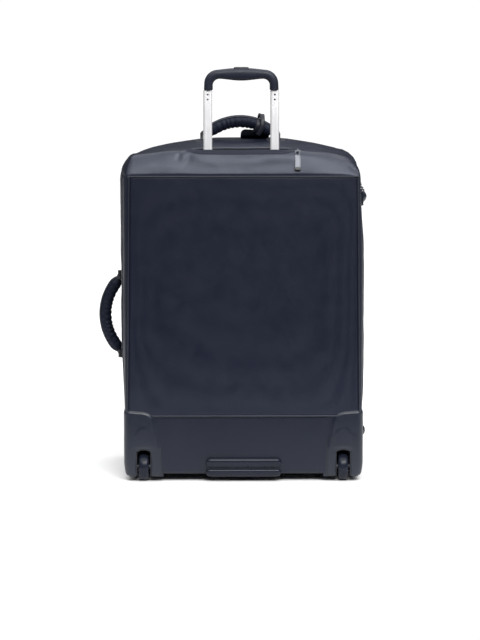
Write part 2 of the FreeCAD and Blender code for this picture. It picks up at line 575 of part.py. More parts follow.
def trolley_frame():
    upper, middle, lower = stage_sizes()
    xs = (TROLLEY_X - TUBE_X, TROLLEY_X + TUBE_X)
    floor = BASE_Z + WALL + 2.8
    bracket = box(TROLLEY_X - 86, TROLLEY_X + 86, WALL + 2.9, TUBE_Y + 12, floor, 62)
    bezel = prism(rounded(TROLLEY_X, TUBE_Y, 92, 12.4, 10), "z", BEZEL_Z[0], BEZEL_Z[1] - BEZEL_Z[0])
    for x in xs:
        socket = tube_prism(x, TUBE_Y, (lower[0] + 0.1, lower[1] + 0.1), 5.0, 40, 70)
        bracket = bracket.cut(socket)
        bezel = bezel.cut([tube_prism(x, TUBE_Y, (lower[0] + 0.1, lower[1] + 0.1), 5.0, 540, 566.1),
                           tube_prism(x, TUBE_Y, (middle[0] + 0.8, middle[1] + 0.8), 4.6, 560, 580)])
        keep("outer_tubes", stage_tube(x, 2, 40.0, 566.0, 5.0))
        keep("middle_tubes", stage_tube(x, 1, 96.0, 577.0, 4.4))
        collar = tube_prism(x, TUBE_Y, (lower[0] + 0.6, lower[1] + 0.6), 5.4, BEZEL_Z[1] + 0.2, 578.4)
        collar = collar.cut([tube_prism(x, TUBE_Y, (middle[0] + 0.1, middle[1] + 0.1), 4.4, 570, 577),
                             tube_prism(x, TUBE_Y, (upper[0] + 0.6, upper[1] + 0.6), 4.0, 570, 580)])
        keep("middle_collars", collar)
        inner = stage_tube(x, 0, 306.0, GRIP_Z, 3.8)
        plug = tube_prism(x, TUBE_Y, (upper[0] - 0.2, upper[1] - 0.2), 3.6, 301, 305.9)
        inside = (upper[0] - 2 * TUBE_WALL - 0.2, upper[1] - 2 * TUBE_WALL - 0.2)
        plug = plug.fuse(tube_prism(x, TUBE_Y, inside, 2.4, 301, 324))
        pin_x = x - math.copysign(ROD_INSET, x - TROLLEY_X)
        back = TUBE_Y - upper[1] / 2
        plug = plug.cut([rod(LOCK_R + RUNNING, V(pin_x, back - 1, LOCK_Z), V(pin_x, TUBE_Y + 4, LOCK_Z)),
                         rod(ROD_R + 0.3, V(pin_x, TUBE_Y, LOCK_Z), V(pin_x, TUBE_Y, 330))])
        keep("tube_plugs", plug)
        pin_hole = rod(LOCK_R + RUNNING, V(pin_x, back - 1, LOCK_Z), V(pin_x, TUBE_Y, LOCK_Z))
        keep("inner_tubes", inner.cut(pin_hole))
        keep("lock_pins", rod(LOCK_R, V(pin_x, back, LOCK_Z), V(pin_x, TUBE_Y + 0.6, LOCK_Z)))
    lightening = [box(TROLLEY_X + x - 14, TROLLEY_X + x + 14, WALL + 6, TUBE_Y + 9, floor + 18, 70)
                  for x in (-24.0, 24.0)]
    keep("tube_bracket", bracket.cut(lightening))
    keep("tube_bezel", bezel)
    liner = box(TROLLEY_X - 82, TROLLEY_X + 82, 17.6, 46.4, BEZEL_Z[1] + 0.2, 640).cut(
        box(TROLLEY_X - 81, TROLLEY_X + 81, 18.6, 45.4, 560, 641))
    keep("pocket_liner", liner.common(body(-WALL - 0.2)))


def grip_outline():
    """The grip seen from behind: legs, round shoulders, arched top and a palm swell underneath."""
    h, t, b = GRIP_HALF, GRIP_TOP, GRIP_Z
    outer_r, inner_r = 26.0, 12.0
    s = math.sqrt(0.5)
    shoulder, under = t - 3.0, 759.0
    inside = h - GRIP_LEG
    half = [(h, b), (h - 0.6, shoulder - outer_r),
            ((h - 0.6 - outer_r * (1 - s), shoulder - outer_r * (1 - s)), (h - 0.6 - outer_r, shoulder)),
            ((0.0, t), (-h + 0.6 + outer_r, shoulder)),
            ((-h + 0.6 + outer_r * (1 - s), shoulder - outer_r * (1 - s)), (-h + 0.6, shoulder - outer_r)),
            (-h, b), (-inside, b), (-inside, under - inner_r),
            ((-inside + inner_r * (1 - s), under - inner_r * (1 - s)), (-inside + inner_r, under)),
            ((0.0, under - 2.6), (inside - inner_r, under)),
            ((inside - inner_r * (1 - s), under - inner_r * (1 - s)), (inside, under - inner_r)), (inside, b)]
    return [tuple((TROLLEY_X + p[0], p[1]) for p in step) if isinstance(step[0], tuple)
            else (TROLLEY_X + step[0], step[1]) for step in half]


def trolley_grip():
    upper = stage_sizes()[0]
    rods_x = TUBE_X - ROD_INSET
    yoke_z = (766.0, 769.0)
    solid = prism(grip_outline(), "y", TUBE_Y - GRIP_DEPTH / 2, GRIP_DEPTH)
    spigot = (upper[0] - 2 * TUBE_WALL - 0.2, upper[1] - 2 * TUBE_WALL - 0.2)
    hollows = [box(TROLLEY_X - rods_x - 2, TROLLEY_X + rods_x + 2, TUBE_Y - 3, TUBE_Y + 3, 761.5, 770.5),
               box(TROLLEY_X - BUTTON_HALF - 0.5, TROLLEY_X + BUTTON_HALF + 0.5, TUBE_Y - 6.5, TUBE_Y + 6.5,
                   SPRING_FLOOR, GRIP_TOP + 3)]
    pins, rods = [], []
    for way in (-1, 1):
        x = TROLLEY_X + way * TUBE_X
        solid = solid.fuse(tube_prism(x, TUBE_Y, spigot, 2.4, 708.0, GRIP_Z + 1))
        rod_x = TROLLEY_X + way * rods_x
        hollows.append(rod(ROD_R + 0.4, V(rod_x, TUBE_Y, 700), V(rod_x, TUBE_Y, 763)))
        tip = LOCK_Z + LOCK_R + BUTTON_TRAVEL + 0.4
        rods.append(rod(ROD_R, V(rod_x, TUBE_Y, tip), V(rod_x, TUBE_Y, yoke_z[0])))
        for z in (719.5, 728.5):
            pins.append(rod(1.2, V(x, TUBE_Y - upper[1] / 2 - 0.3, z), V(x, TUBE_Y + upper[1] / 2 + 0.3, z)))
    solid = solid.cut(hollows)
    solid = solid.cut([grown(p, 0.02) for p in pins])
    keep("grip_rear_shell", solid.common(box(-100, 100, 0, TUBE_Y, 600, 800)))
    keep("grip_front_shell", solid.common(box(-100, 100, TUBE_Y, 80, 600, 800)))
    keep("grip_rivets", *pins)
    drill("inner_tubes", *[grown(p, 0.02) for p in pins])
    keep("push_rods", *rods)
    button = box(TROLLEY_X - BUTTON_HALF, TROLLEY_X + BUTTON_HALF, TUBE_Y - 6, TUBE_Y + 6, yoke_z[0], GRIP_TOP + 2.2)
    yoke = box(TROLLEY_X - rods_x - 1.5, TROLLEY_X + rods_x + 1.5, TUBE_Y - 2.2, TUBE_Y + 2.2, *yoke_z)
    keep("release_button", button.fuse(yoke).removeSplitter())
    for x in (-8.0, 8.0):
        wire, turns, height = 0.5, 4, yoke_z[0] - SPRING_FLOOR - 1.4
        helix = Part.makeHelix(height / turns, height, 2.4)
        section = Part.Wire(Part.makeCircle(wire, V(2.4, 0, 0), Y_AXIS))
        coil = Part.Wire(helix.Edges).makePipeShell([section], True, True)
        coil.translate(V(TROLLEY_X + x, TUBE_Y, SPRING_FLOOR + 0.7))
        keep("button_springs", coil)


# ---- carry handles and tag ----------------------------------------------------------------------
def arch_radius(span, rise):
    return (span ** 2 + rise ** 2) / (2 * rise)


def carry_handle(span, rise):
    """A padded handle about the X axis through the origin: arched tube, with a round knuckle at each end."""
    radius = arch_radius(span, rise)
    centre = V(0, 0, rise - radius)
    half = math.asin(span / radius) - 0.11
    ends = [centre.add(V(radius * math.sin(a), 0, radius * math.cos(a))) for a in (-half, half)]
    path = Part.Wire(Part.Arc(ends[0], centre.add(V(0, 0, radius)), ends[1]).toShape())
    way = V(math.cos(half), 0, math.sin(half))
    section = Part.Wire(Part.makeCircle(HANDLE_R, ends[0], way))
    shape = path.makePipeShell([section], True, False)
    shape = shape.fuse([Part.makeSphere(HANDLE_R, e) for e in ends])
    for way in (-1, 1):
        x0, x1 = sorted((way * (span - KNUCKLE / 2 - 4), way * (span + KNUCKLE / 2)))
        shape = shape.fuse(rod(KNUCKLE_R, V(x0, 0, 0), V(x1, 0, 0)))
    return shape


def anchor(span, inside):
    """Patch and upright tab at a handle's right end. The skin is at z = inside and the axis at 0."""
    reach = span + KNUCKLE / 2 + 0.4
    tab = prism([(-11.0, inside), (11.0, inside), (11.0, -4.0), ((0.0, 7.0), (-11.0, -4.0))], "x", reach, TAB)
    patch = prism(rounded(reach - 2, 0, 18.0, 17.0, 5.0), "z", inside, PATCH)
    return patch, tab


def top_handle():
    grip = carry_handle(TOP_HANDLE_SPAN, TOP_HANDLE_RISE)
    place = V(TOP_HANDLE_X, TOP_HANDLE_Y, TOP_HANDLE_AXIS_Z)
    grip.translate(place)
    keep("top_handle_pad", grip)
    under = RIDGE_Z - 15.0 - TOP_HANDLE_AXIS_Z
    patch, tab = anchor(TOP_HANDLE_SPAN, under)
    patch_skin = body(PATCH).cut(body(SKIN_GAP))
    for way in (-1, 1):
        region = patch.copy() if way > 0 else mirror_x(patch)
        piece = tab.copy() if way > 0 else mirror_x(tab)
        region.translate(place)
        piece.translate(place)
        tall = region.BoundBox
        column = box(tall.XMin, tall.XMax, tall.YMin, tall.YMax, tall.ZMin, RIDGE_Z + 10)
        keep("top_handle_anchors", patch_skin.common(column).fuse(piece.cut(body(SKIN_GAP))))


def side_handle():
    def place(shape):
        shape.rotate(V(0, 0, 0), Y_AXIS, -90)
        shape.translate(V(SIDE_HANDLE_AXIS_X, SIDE_HANDLE_Y, SIDE_HANDLE_Z))
        return shape
    keep("side_handle_pad", place(carry_handle(SIDE_HANDLE_SPAN, SIDE_HANDLE_RISE)))
    inside = SIDE_HANDLE_AXIS_X + HALF_WIDTH + SKIN_GAP
    for way in (-1, 1):
        patch, tab = anchor(SIDE_HANDLE_SPAN, inside)
        piece = patch.fuse(tab)
        keep("side_handle_anchors", place(piece if way > 0 else mirror_x(piece)))


def luggage_tag():
    """Strap loop round the top handle, its keeper, and the tag lying on the soft top behind the handle."""
    radius = arch_radius(TOP_HANDLE_SPAN, TOP_HANDLE_RISE)
    lean = math.asin((TAG_X - TOP_HANDLE_X) / radius)
    centre = V(TAG_X, TOP_HANDLE_Y, TOP_HANDLE_AXIS_Z + TOP_HANDLE_RISE - radius * (1 - math.cos(lean)))
    inner, thick, width = HANDLE_R + 1.2, 1.8, 9.5
    loop = rod(inner + thick, V(-width / 2, 0, 0), V(width / 2, 0, 0))
    loop = loop.cut(rod(inner, V(-width, 0, 0), V(width, 0, 0)))
    keeper = box(-width / 2 - 1, width / 2 + 1, -4.0, 5.0, inner + thick + 0.2, inner + thick + 9.0)
    keeper = keeper.cut(box(-width, width, -2.2, 3.2, inner + thick + 2.0, inner + thick + 7.2))
    neck = box(-width / 2, width / 2, -1.0, 2.0, inner + 0.6, inner + thick + 0.6)
    tail = box(-width / 2, width / 2, inner + 0.2, inner + 2.0, -16.0, 2.0)
    strap = loop.fuse([keeper, neck, tail])
    strap.rotate(V(0, 0, 0), Y_AXIS, math.degrees(lean))
    strap.translate(centre)
    keep("tag_strap", strap)

    tag = prism(rounded(0, 31.0, 28.0, 30.0, 8.0), "z", -1.6, 3.2)
    tag = tag.cut(box(-6, 6, 3.5, 6.0, -3, 3))
    tag.rotate(V(0, 0, 0), X_AXIS, -TAG_SLOPE)
    tag.translate(V(TAG_X - 5.0, TOP_HANDLE_Y + inner + 2.6, centre.z - 14.0))
    keep("tag_body", tag)
    return centre, V(math.cos(lean), 0, -math.sin(lean))


# ---- assembly -----------------------------------------------------------------------------------
def build():
    """Makes every node and returns the joint anchors that depend on the shapes."""
    fabric_body()
    stiffeners()
    lining()
    main_zip()
    pivots = main_zip_sliders()
    pull_pivot = trolley_zip()
    pocket_pivot = lid_fittings()
    running_gear()
    feet()
    trolley_frame()
    trolley_grip()
    fasteners()
    top_handle()
    side_handle()
    tag_centre, tag_axis = luggage_tag()
    return {"main_a": pivots["a"], "main_b": pivots["b"], "trolley_zip": pull_pivot,
            "pocket": pocket_pivot, "tag": tag_centre, "tag_axis": tag_axis}


def origin():
    """The move that puts the middle of the whole object's bounding box over the row's origin."""
    boxes = [s.optimalBoundingBox(True, False) for solids in NODES.values() for s in solids]
    x = (min(b.XMin for b in boxes) + max(b.XMax for b in boxes)) / 2
    y = (min(b.YMin for b in boxes) + max(b.YMax for b in boxes)) / 2
    return V(-x, -y, -min(b.ZMin for b in boxes))


ANCHORS = build()
ORIGIN = origin()
os.makedirs("parts", exist_ok=True)
for name, solids in NODES.items():
    shape = Part.Compound(solids)
    shape.translate(ORIGIN)
    shape.exportStep(f"parts/{name}.step")
print(len(NODES), "nodes", sum(len(s) for s in NODES.values()), "solids, origin moved by", ORIGIN)
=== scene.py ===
import json
import math

import bpy
import bmesh
import numpy as np
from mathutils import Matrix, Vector, noise


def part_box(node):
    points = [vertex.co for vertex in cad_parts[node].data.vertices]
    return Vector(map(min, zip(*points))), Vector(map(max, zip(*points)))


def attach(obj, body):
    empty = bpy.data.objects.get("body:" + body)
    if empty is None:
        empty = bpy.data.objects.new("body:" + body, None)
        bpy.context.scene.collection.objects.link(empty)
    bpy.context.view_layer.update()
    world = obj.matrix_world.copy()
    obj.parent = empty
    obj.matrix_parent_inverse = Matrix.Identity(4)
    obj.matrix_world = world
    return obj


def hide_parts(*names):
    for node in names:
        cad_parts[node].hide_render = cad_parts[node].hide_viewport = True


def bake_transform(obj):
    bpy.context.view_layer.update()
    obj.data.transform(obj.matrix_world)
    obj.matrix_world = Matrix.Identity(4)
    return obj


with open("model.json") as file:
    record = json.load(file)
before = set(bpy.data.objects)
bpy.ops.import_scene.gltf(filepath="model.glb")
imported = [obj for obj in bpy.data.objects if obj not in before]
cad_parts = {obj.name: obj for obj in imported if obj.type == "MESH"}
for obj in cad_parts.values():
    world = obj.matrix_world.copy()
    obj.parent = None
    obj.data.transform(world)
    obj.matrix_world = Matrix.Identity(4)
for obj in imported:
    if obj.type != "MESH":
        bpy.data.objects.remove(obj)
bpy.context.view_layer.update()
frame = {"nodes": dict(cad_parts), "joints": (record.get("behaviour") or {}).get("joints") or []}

# ---- places, in millimetres: X right seen from behind, Y from the back face forward, Z up -------
BACK_LO, BACK_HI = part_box("back_panel")
CENTRE_X, BACK_Y = (BACK_LO.x + BACK_HI.x) / 2, BACK_LO.y
MM = 0.001


def mm_box(node):
    """A CAD node's lowest and highest corners in millimetres from the back panel's middle and the floor."""
    lo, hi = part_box(node)
    shift = Vector((CENTRE_X, BACK_Y, 0))
    return (lo - shift) / MM, (hi - shift) / MM


HALF = mm_box("side_panel_right")[1].x         # half the fabric body's width
SEAM_X = mm_box("back_panel")[1].x             # back panel's side seams
SEAM_Z = mm_box("back_panel")[1].z + 2.2       # seam under the soft top
KICK_Z = mm_box("back_panel")[0].z - 0.6       # seam over the coated base cover
BASE_Z = mm_box("base_cover")[0].z
DEPTH = mm_box("lid_panel")[1].y
LID_Y = (mm_box("main_zip_case_half")[1].y + mm_box("main_zip_lid_half")[0].y) / 2
CASE_EDGE, LID_EDGE = LID_Y - 5.0, LID_Y + 5.0
TUBE_LO, TUBE_HI = mm_box("inner_tubes")
TROLLEY_X, TUBE_Y = (TUBE_LO.x + TUBE_HI.x) / 2, (TUBE_LO.y + TUBE_HI.y) / 2
GUARD_TOP = mm_box("corner_guard_left")[1].z
WHEEL_X = (mm_box("wheel_tyre_right")[0].x + mm_box("wheel_tyre_right")[1].x) / 2
TUBE_SIZE_X = 16.5
TUBE_X = (TUBE_HI.x - TUBE_LO.x - TUBE_SIZE_X) / 2
GRIP_Z, GRIP_TOP = TUBE_HI.z, mm_box("grip_rear_shell")[1].z
RIVET_Z = (719.5, 728.5)
ARCH_LOW, ARCH_HIGH, ARCH_HALF = 57.5, 62.0, 14.4      # the guards' wheel openings: spring, crown, half width
LENS, EYE, LOOK_AT = 182.3, (-60, -6000, 1230), (-6.6, 0, 308)
HANDLE_R = 11.5
ARCH = {"top_handle": (62.0, 19.0), "side_handle": (70.0, 28.0)}     # half span and rise of each padded grip
ARCH_LIFT = {"top_handle": 4.0, "side_handle": 1.5}                  # how much higher the cloth arches
END_TAPER = {"top_handle": 0.26, "side_handle": 0.38}
PATCH_LIFT = {"top_handle": 2.4, "side_handle": 1.3}
ANCHOR_REACH, ANCHOR_WIDTH, ANCHOR_BASE = 8.4, 5.5, -9.0             # past the span, along it, and down to the cloth
PIPING_Y = 38.0                                # corded seam down each side
FLUTES = (-4.2, -1.4, 1.4, 4.2)                # grooves along the tubes
SIDE_HANDLE_Z = (mm_box("side_handle_pad")[0].z + mm_box("side_handle_pad")[1].z) / 2
SIDE_FEET = [(y, z) for y in (59.0, 143.0) for z in (87.0, 534.0)]

ROOM_DARK, ROOM_LIGHT = 0.05, 2.6      # the studio's walls and its ceiling
NYLON_NAVY = (0.0077, 0.0101, 0.0215)
COATED_NAVY = (0.0085, 0.0115, 0.0230)


def smooth(t):
    t = np.clip(t, 0.0, 1.0)
    return t * t * (3 - 2 * t)


# ---- materials ----------------------------------------------------------------------------------
class Material:
    """A Principled material with short ways to add nodes."""

    def __init__(self, name, **sockets):
        self.material = bpy.data.materials.new(name)
        self.material.use_nodes = True
        self.tree = self.material.node_tree
        self.shader = self.tree.nodes["Principled BSDF"]
        for socket, value in sockets.items():
            self.shader.inputs[socket.replace("_", " ")].default_value = value
        self.height = None

    def node(self, kind, **inputs):
        made = self.tree.nodes.new(kind)
        for key, value in inputs.items():
            if hasattr(made, key) and key not in made.inputs:
                setattr(made, key, value)
            else:
                self.put(made.inputs[key], value)
        return made

    def put(self, socket, value):
        if isinstance(value, bpy.types.NodeSocket):
            self.tree.links.new(value, socket)
        else:
            socket.default_value = value

    def point(self):
        return self.node("ShaderNodeTexCoord").outputs["Object"]

    def noise(self, scale, detail=3.0, rough=0.55):
        made = self.node("ShaderNodeTexNoise", Vector=self.point(), Scale=scale, Detail=detail,
                         Roughness=rough)
        return made.outputs["Fac"]

    def math(self, operation, a, b=0.0):
        made = self.node("ShaderNodeMath", operation=operation)
        self.put(made.inputs[0], a)
        self.put(made.inputs[1], b)
        return made.outputs[0]

    def ramp(self, value, low, high, out_low, out_high):
        made = self.node("ShaderNodeMapRange", Value=value)
        for key, number in (("From Min", low), ("From Max", high), ("To Min", out_low), ("To Max", out_high)):
            made.inputs[key].default_value = number
        return made.outputs["Result"]

    def mix(self, factor, a, b):
        made = self.node("ShaderNodeMix", data_type="RGBA")
        self.put(made.inputs[0], factor)
        self.put(made.inputs[6], (*a, 1.0) if isinstance(a, tuple) else a)
        self.put(made.inputs[7], (*b, 1.0) if isinstance(b, tuple) else b)
        return made.outputs[2]

    def bump(self, height, strength, distance):
        made = self.node("ShaderNodeBump", Height=height, Strength=strength, Distance=distance)
        if self.height is not None:
            self.put(made.inputs["Normal"], self.height)
        self.height = made.outputs["Normal"]
        self.put(self.shader.inputs["Normal"], self.height)

    def threads(self, pitch):
        """A woven grid: one wave along each axis, so each face shows the two that lie in it."""
        parts = self.node("ShaderNodeSeparateXYZ", Vector=self.point())
        waves = []
        for axis in range(3):
            turn = self.math("MULTIPLY", parts.outputs[axis], 2 * math.pi / pitch)
            waves.append(self.math("SINE", turn))
        return self.math("ADD", self.math("MULTIPLY", waves[0], waves[2]),
                         self.math("ADD", self.math("MULTIPLY", waves[1], waves[2]),
                                   self.math("MULTIPLY", waves[0], waves[1])))


def fabric(name, colour, roughness, pitch=0.0007, sheen=0.25, mottle=0.25, weave=0.35, specular=0.5,
           blotch=9.0,
           tint=(1.0, 1.0, 1.0)):
    """Woven cloth: thread grid, uneven dye, a little fibre fuzz and wear in the roughness."""
    m = Material(name, Roughness=roughness, Sheen_Weight=sheen, Sheen_Roughness=0.45,
                 Specular_IOR_Level=specular)
    m.shader.inputs["Sheen Tint"].default_value = (0.62, 0.68, 0.9, 1.0)
    m.shader.inputs["Specular Tint"].default_value = (*tint, 1.0)
    light = tuple(min(1.0, c * (1 + mottle)) for c in colour)
    dark = tuple(c * (1 - mottle) for c in colour)
    patchy = m.ramp(m.noise(blotch, 4.0), 0.3, 0.7, 0.0, 1.0)
    fine = m.ramp(m.noise(900.0, 2.0), 0.25, 0.75, 0.0, 1.0)
    base = m.mix(patchy, dark, light)
    fleck = m.mix(m.math("MULTIPLY", fine, 0.35), base, tuple(c * 1.5 for c in colour))
    m.put(m.shader.inputs["Base Color"], fleck)
    m.put(m.shader.inputs["Roughness"], m.ramp(m.noise(35.0), 0.3, 0.7, roughness - 0.03, roughness + 0.04))
    m.bump(m.threads(pitch), weave, 0.00008)
    m.bump(m.noise(260.0, 3.0), 0.12, 0.0004)
    return m.material


def coated(name, colour, roughness=0.42):
    """Smooth coated cloth: a faint pebble and slow changes of shine."""
    m = Material(name, Roughness=roughness, Specular_IOR_Level=0.36)
    patchy = m.ramp(m.noise(7.0, 4.0), 0.3, 0.7, 0.0, 1.0)
    m.put(m.shader.inputs["Base Color"],
          m.mix(patchy, tuple(c * 0.9 for c in colour), tuple(c * 1.12 for c in colour)))
    m.put(m.shader.inputs["Roughness"], m.ramp(m.noise(60.0), 0.3, 0.7, roughness - 0.05, roughness + 0.07))
    cells = m.node("ShaderNodeTexVoronoi", Vector=m.point(), Scale=1400.0)
    m.bump(cells.outputs["Distance"], 0.10, 0.0002)
    m.bump(m.threads(0.0009), 0.10, 0.00005)
    return m.material


def plastic(name, colour, roughness, grain=0.1, scale=1500.0, spread=0.05, specular=0.5):
    """Moulded plastic: spark-eroded grain, and rubbed patches that shine a little more."""
    m = Material(name, Roughness=roughness, Specular_IOR_Level=specular)
    patchy = m.ramp(m.noise(22.0, 4.0), 0.3, 0.7, 0.0, 1.0)
    m.put(m.shader.inputs["Base Color"],
          m.mix(patchy, tuple(c * 0.92 for c in colour), tuple(c * 1.1 for c in colour)))
    m.put(m.shader.inputs["Roughness"],
          m.ramp(m.noise(80.0, 4.0), 0.3, 0.7, roughness - spread, roughness + spread))
    m.bump(m.noise(scale, 2.0), grain, 0.0002)
    return m.material


def metal(name, colour, roughness, brush=(1.0, 1.0, 0.02), lines=900.0, strength=0.08, metallic=1.0):
    """Drawn or brushed metal: fine lines along the long way of the grain, and faint handling marks."""
    m = Material(name, Metallic=metallic, Roughness=roughness)
    stretch = m.node("ShaderNodeMapping", Vector=m.point())
    stretch.inputs["Scale"].default_value = brush
    grain = m.node("ShaderNodeTexNoise", Vector=stretch.outputs[0], Scale=lines, Detail=3.0).outputs["Fac"]
    m.put(m.shader.inputs["Base Color"],
          m.mix(m.ramp(grain, 0.3, 0.7, 0.0, 1.0), tuple(c * 0.93 for c in colour), colour))
    marks = m.ramp(m.noise(45.0, 5.0), 0.35, 0.75, roughness - 0.04, roughness + 0.09)
    m.put(m.shader.inputs["Roughness"], marks)
    m.bump(grain, strength, 0.00005)
    return m.material


MATS = {
    "nylon": fabric("navy_nylon", NYLON_NAVY, 0.335, sheen=0.01, mottle=0.06, specular=0.6,
                    tint=(0.82, 0.87, 1.0)),
    "gusset": fabric("gusset_nylon", (0.0100, 0.0128, 0.0245), 0.52, sheen=0.01, mottle=0.12, specular=0.2),
    "coated": coated("coated_cloth", COATED_NAVY),
    "handle": fabric("handle_cloth", (0.0065, 0.0085, 0.0175), 0.5, pitch=0.0009, sheen=0.02, specular=0.3,
                     tint=(0.75, 0.82, 1.0)),
    "piping": fabric("piping_cloth", (0.0105, 0.0135, 0.0250), 0.44, pitch=0.0006, sheen=0.03),
    "webbing": fabric("webbing", (0.007, 0.008, 0.014), 0.6, pitch=0.0016, weave=0.9, sheen=0.05),
    "lining": fabric("lining_cloth", (0.085, 0.09, 0.11), 0.6, pitch=0.0006, mottle=0.08),
    "zip_tape": fabric("zip_tape", (0.012, 0.013, 0.020), 0.6, pitch=0.0008, weave=0.6),
    "thread": fabric("sewing_thread", (0.034, 0.039, 0.058), 0.5, pitch=0.0003),
    "zip_teeth": plastic("zip_teeth", (0.014, 0.015, 0.02), 0.32),
    "guard": plastic("guard_plastic", (0.0095, 0.0130, 0.0245), 0.36, grain=0.10, specular=0.5),
    "grip": plastic("grip_plastic", (0.0165, 0.0200, 0.0330), 0.44, grain=0.14, scale=2200.0, specular=0.3),
    "gloss": plastic("gloss_plastic", (0.018, 0.021, 0.032), 0.2, grain=0.03),
    "black": plastic("black_plastic", (0.012, 0.0125, 0.014), 0.4, grain=0.15),
    "hub": plastic("hub_plastic", (0.03, 0.032, 0.038), 0.42),
    "tyre": plastic("tyre_rubber", (0.0100, 0.0125, 0.0225), 0.28, grain=0.05, scale=700.0, specular=0.2),
    "board": plastic("board_plastic", (0.09, 0.09, 0.095), 0.6),
    "aluminium": metal("bright_aluminium", (0.87, 0.87, 0.885), 0.40, strength=0.04, metallic=0.4),
    "steel": metal("plated_steel", (0.48, 0.48, 0.49), 0.3, brush=(1.0, 1.0, 1.0), lines=400.0),
    "zip_metal": metal("zip_metal", (0.13, 0.135, 0.15), 0.36, brush=(1.0, 1.0, 1.0), lines=600.0),
    "thread_light": fabric("hem_thread", (0.075, 0.082, 0.11), 0.5, pitch=0.0003),
    "pocket": plastic("pocket_plastic", (0.012, 0.014, 0.022), 0.5, grain=0.1),
    "bumper": plastic("bumper_plastic", (0.0085, 0.0110, 0.0215), 0.3, grain=0.05, specular=0.27),
    "button": plastic("button_plastic", (0.018, 0.020, 0.028), 0.45, grain=0.1),
    "tray": plastic("tray_plastic", (0.02, 0.021, 0.024), 0.5, grain=0.2),
    "axle": metal("axle_steel", (0.10, 0.10, 0.11), 0.45, brush=(1.0, 1.0, 1.0), lines=500.0),
    "rivet": metal("rivet_steel", (0.16, 0.16, 0.17), 0.35, brush=(1.0, 1.0, 1.0), lines=500.0),
    "leather": coated("tag_leather", (0.013, 0.015, 0.023), 0.38),
}


# ---- mesh helpers -------------------------------------------------------------------------------
def to_metres(points):
    points = np.asarray(points, float) * MM
    return points + np.array([CENTRE_X, BACK_Y, 0.0])


def make(name, points, faces, material, sharp=None):
    """A mesh object from points in millimetres."""
    mesh = bpy.data.meshes.new(name)
    mesh.from_pydata(to_metres(points).tolist(), [], faces)
    mesh.validate()
    for polygon in mesh.polygons:
        polygon.use_smooth = True
    mesh.materials.append(MATS[material])
    made = bpy.data.objects.new(name, mesh)
    bpy.context.scene.collection.objects.link(made)
    if sharp is not None:
        mesh.set_sharp_from_angle(angle=math.radians(sharp))
    return made


def face_out(piece):
    """Turns every face of a closed mesh outward."""
    mesh = bmesh.new()
    mesh.from_mesh(piece.data)
    bmesh.ops.recalc_face_normals(mesh, faces=mesh.faces[:])
    mesh.to_mesh(piece.data)
    mesh.free()


def capped(rows, count):
    """Faces of a tube of points stored loop by loop, with both ends closed."""
    last = (rows - 1) * count
    return lattice(rows, count, wrap_cols=True) + [tuple(range(count))[::-1],
                                                   tuple(last + k for k in range(count))]


def apply(piece):
    """Bakes a piece's modifiers into its mesh."""
    graph = bpy.context.evaluated_depsgraph_get()
    done = bpy.data.meshes.new_from_object(piece.evaluated_get(graph))
    piece.modifiers.clear()
    piece.data = done
    return piece


def lattice(rows, cols, wrap_rows=False, wrap_cols=False):
    """Faces of a grid of points stored row by row."""
    faces = []
    for r in range(rows if wrap_rows else rows - 1):
        for c in range(cols if wrap_cols else cols - 1):
            r1, c1 = (r + 1) % rows, (c + 1) % cols
            faces.append((r * cols + c, r * cols + c1, r1 * cols + c1, r1 * cols + c))
    return faces


def normals_of(grid):
    """Unit normals of a grid of points, rows by columns by three."""
    across = np.gradient(grid, axis=1)
    along = np.gradient(grid, axis=0)
    normal = np.cross(across, along)
    return normal / np.maximum(np.linalg.norm(normal, axis=2, keepdims=True), 1e-9)


def tube(name, path, radius, material, sides=10, closed=False, squeeze=1.0, caps=True):
    """A round tube along a path in millimetres. radius may be one number or one for each point."""
    path = np.asarray(path, float)
    count = len(path)
    radius = np.broadcast_to(np.asarray(radius, float), (count,))
    if closed:
        tangent = np.roll(path, -1, 0) - np.roll(path, 1, 0)
    else:
        tangent = np.gradient(path, axis=0)
    tangent /= np.maximum(np.linalg.norm(tangent, axis=1, keepdims=True), 1e-9)
    side = np.cross(tangent[0], (0, 0, 1) if abs(tangent[0][2]) < 0.9 else (0, 1, 0))
    side /= np.linalg.norm(side)
    points = []
    for i in range(count):
        side = side - tangent[i] * np.dot(side, tangent[i])
        side /= np.linalg.norm(side)
        up = np.cross(side, tangent[i])
        for k in range(sides):
            angle = 2 * math.pi * k / sides
            points.append(path[i] + radius[i] * (math.cos(angle) * side + squeeze * math.sin(angle) * up))
    faces = lattice(count, sides, wrap_rows=closed, wrap_cols=True)
    if caps and not closed:
        faces += [tuple(range(sides)), tuple((count - 1) * sides + k for k in reversed(range(sides)))]
    return make(name, points, faces, material, sharp=60)


def resample(path, step, closed=False):
    """Evenly spaced points along a path, and the way it runs at each."""
    path = np.asarray(path, float)
    if closed:
        path = np.vstack([path, path[:1]])
    run = np.concatenate([[0], np.cumsum(np.linalg.norm(np.diff(path, axis=0), axis=1))])
    count = max(2, int(round(run[-1] / step)))
    at = np.linspace(0, run[-1], count, endpoint=not closed)
    points = np.stack([np.interp(at, run, path[:, k]) for k in range(3)], axis=1)
    ways = np.gradient(points, axis=0)
    return points, ways / np.maximum(np.linalg.norm(ways, axis=1, keepdims=True), 1e-9)


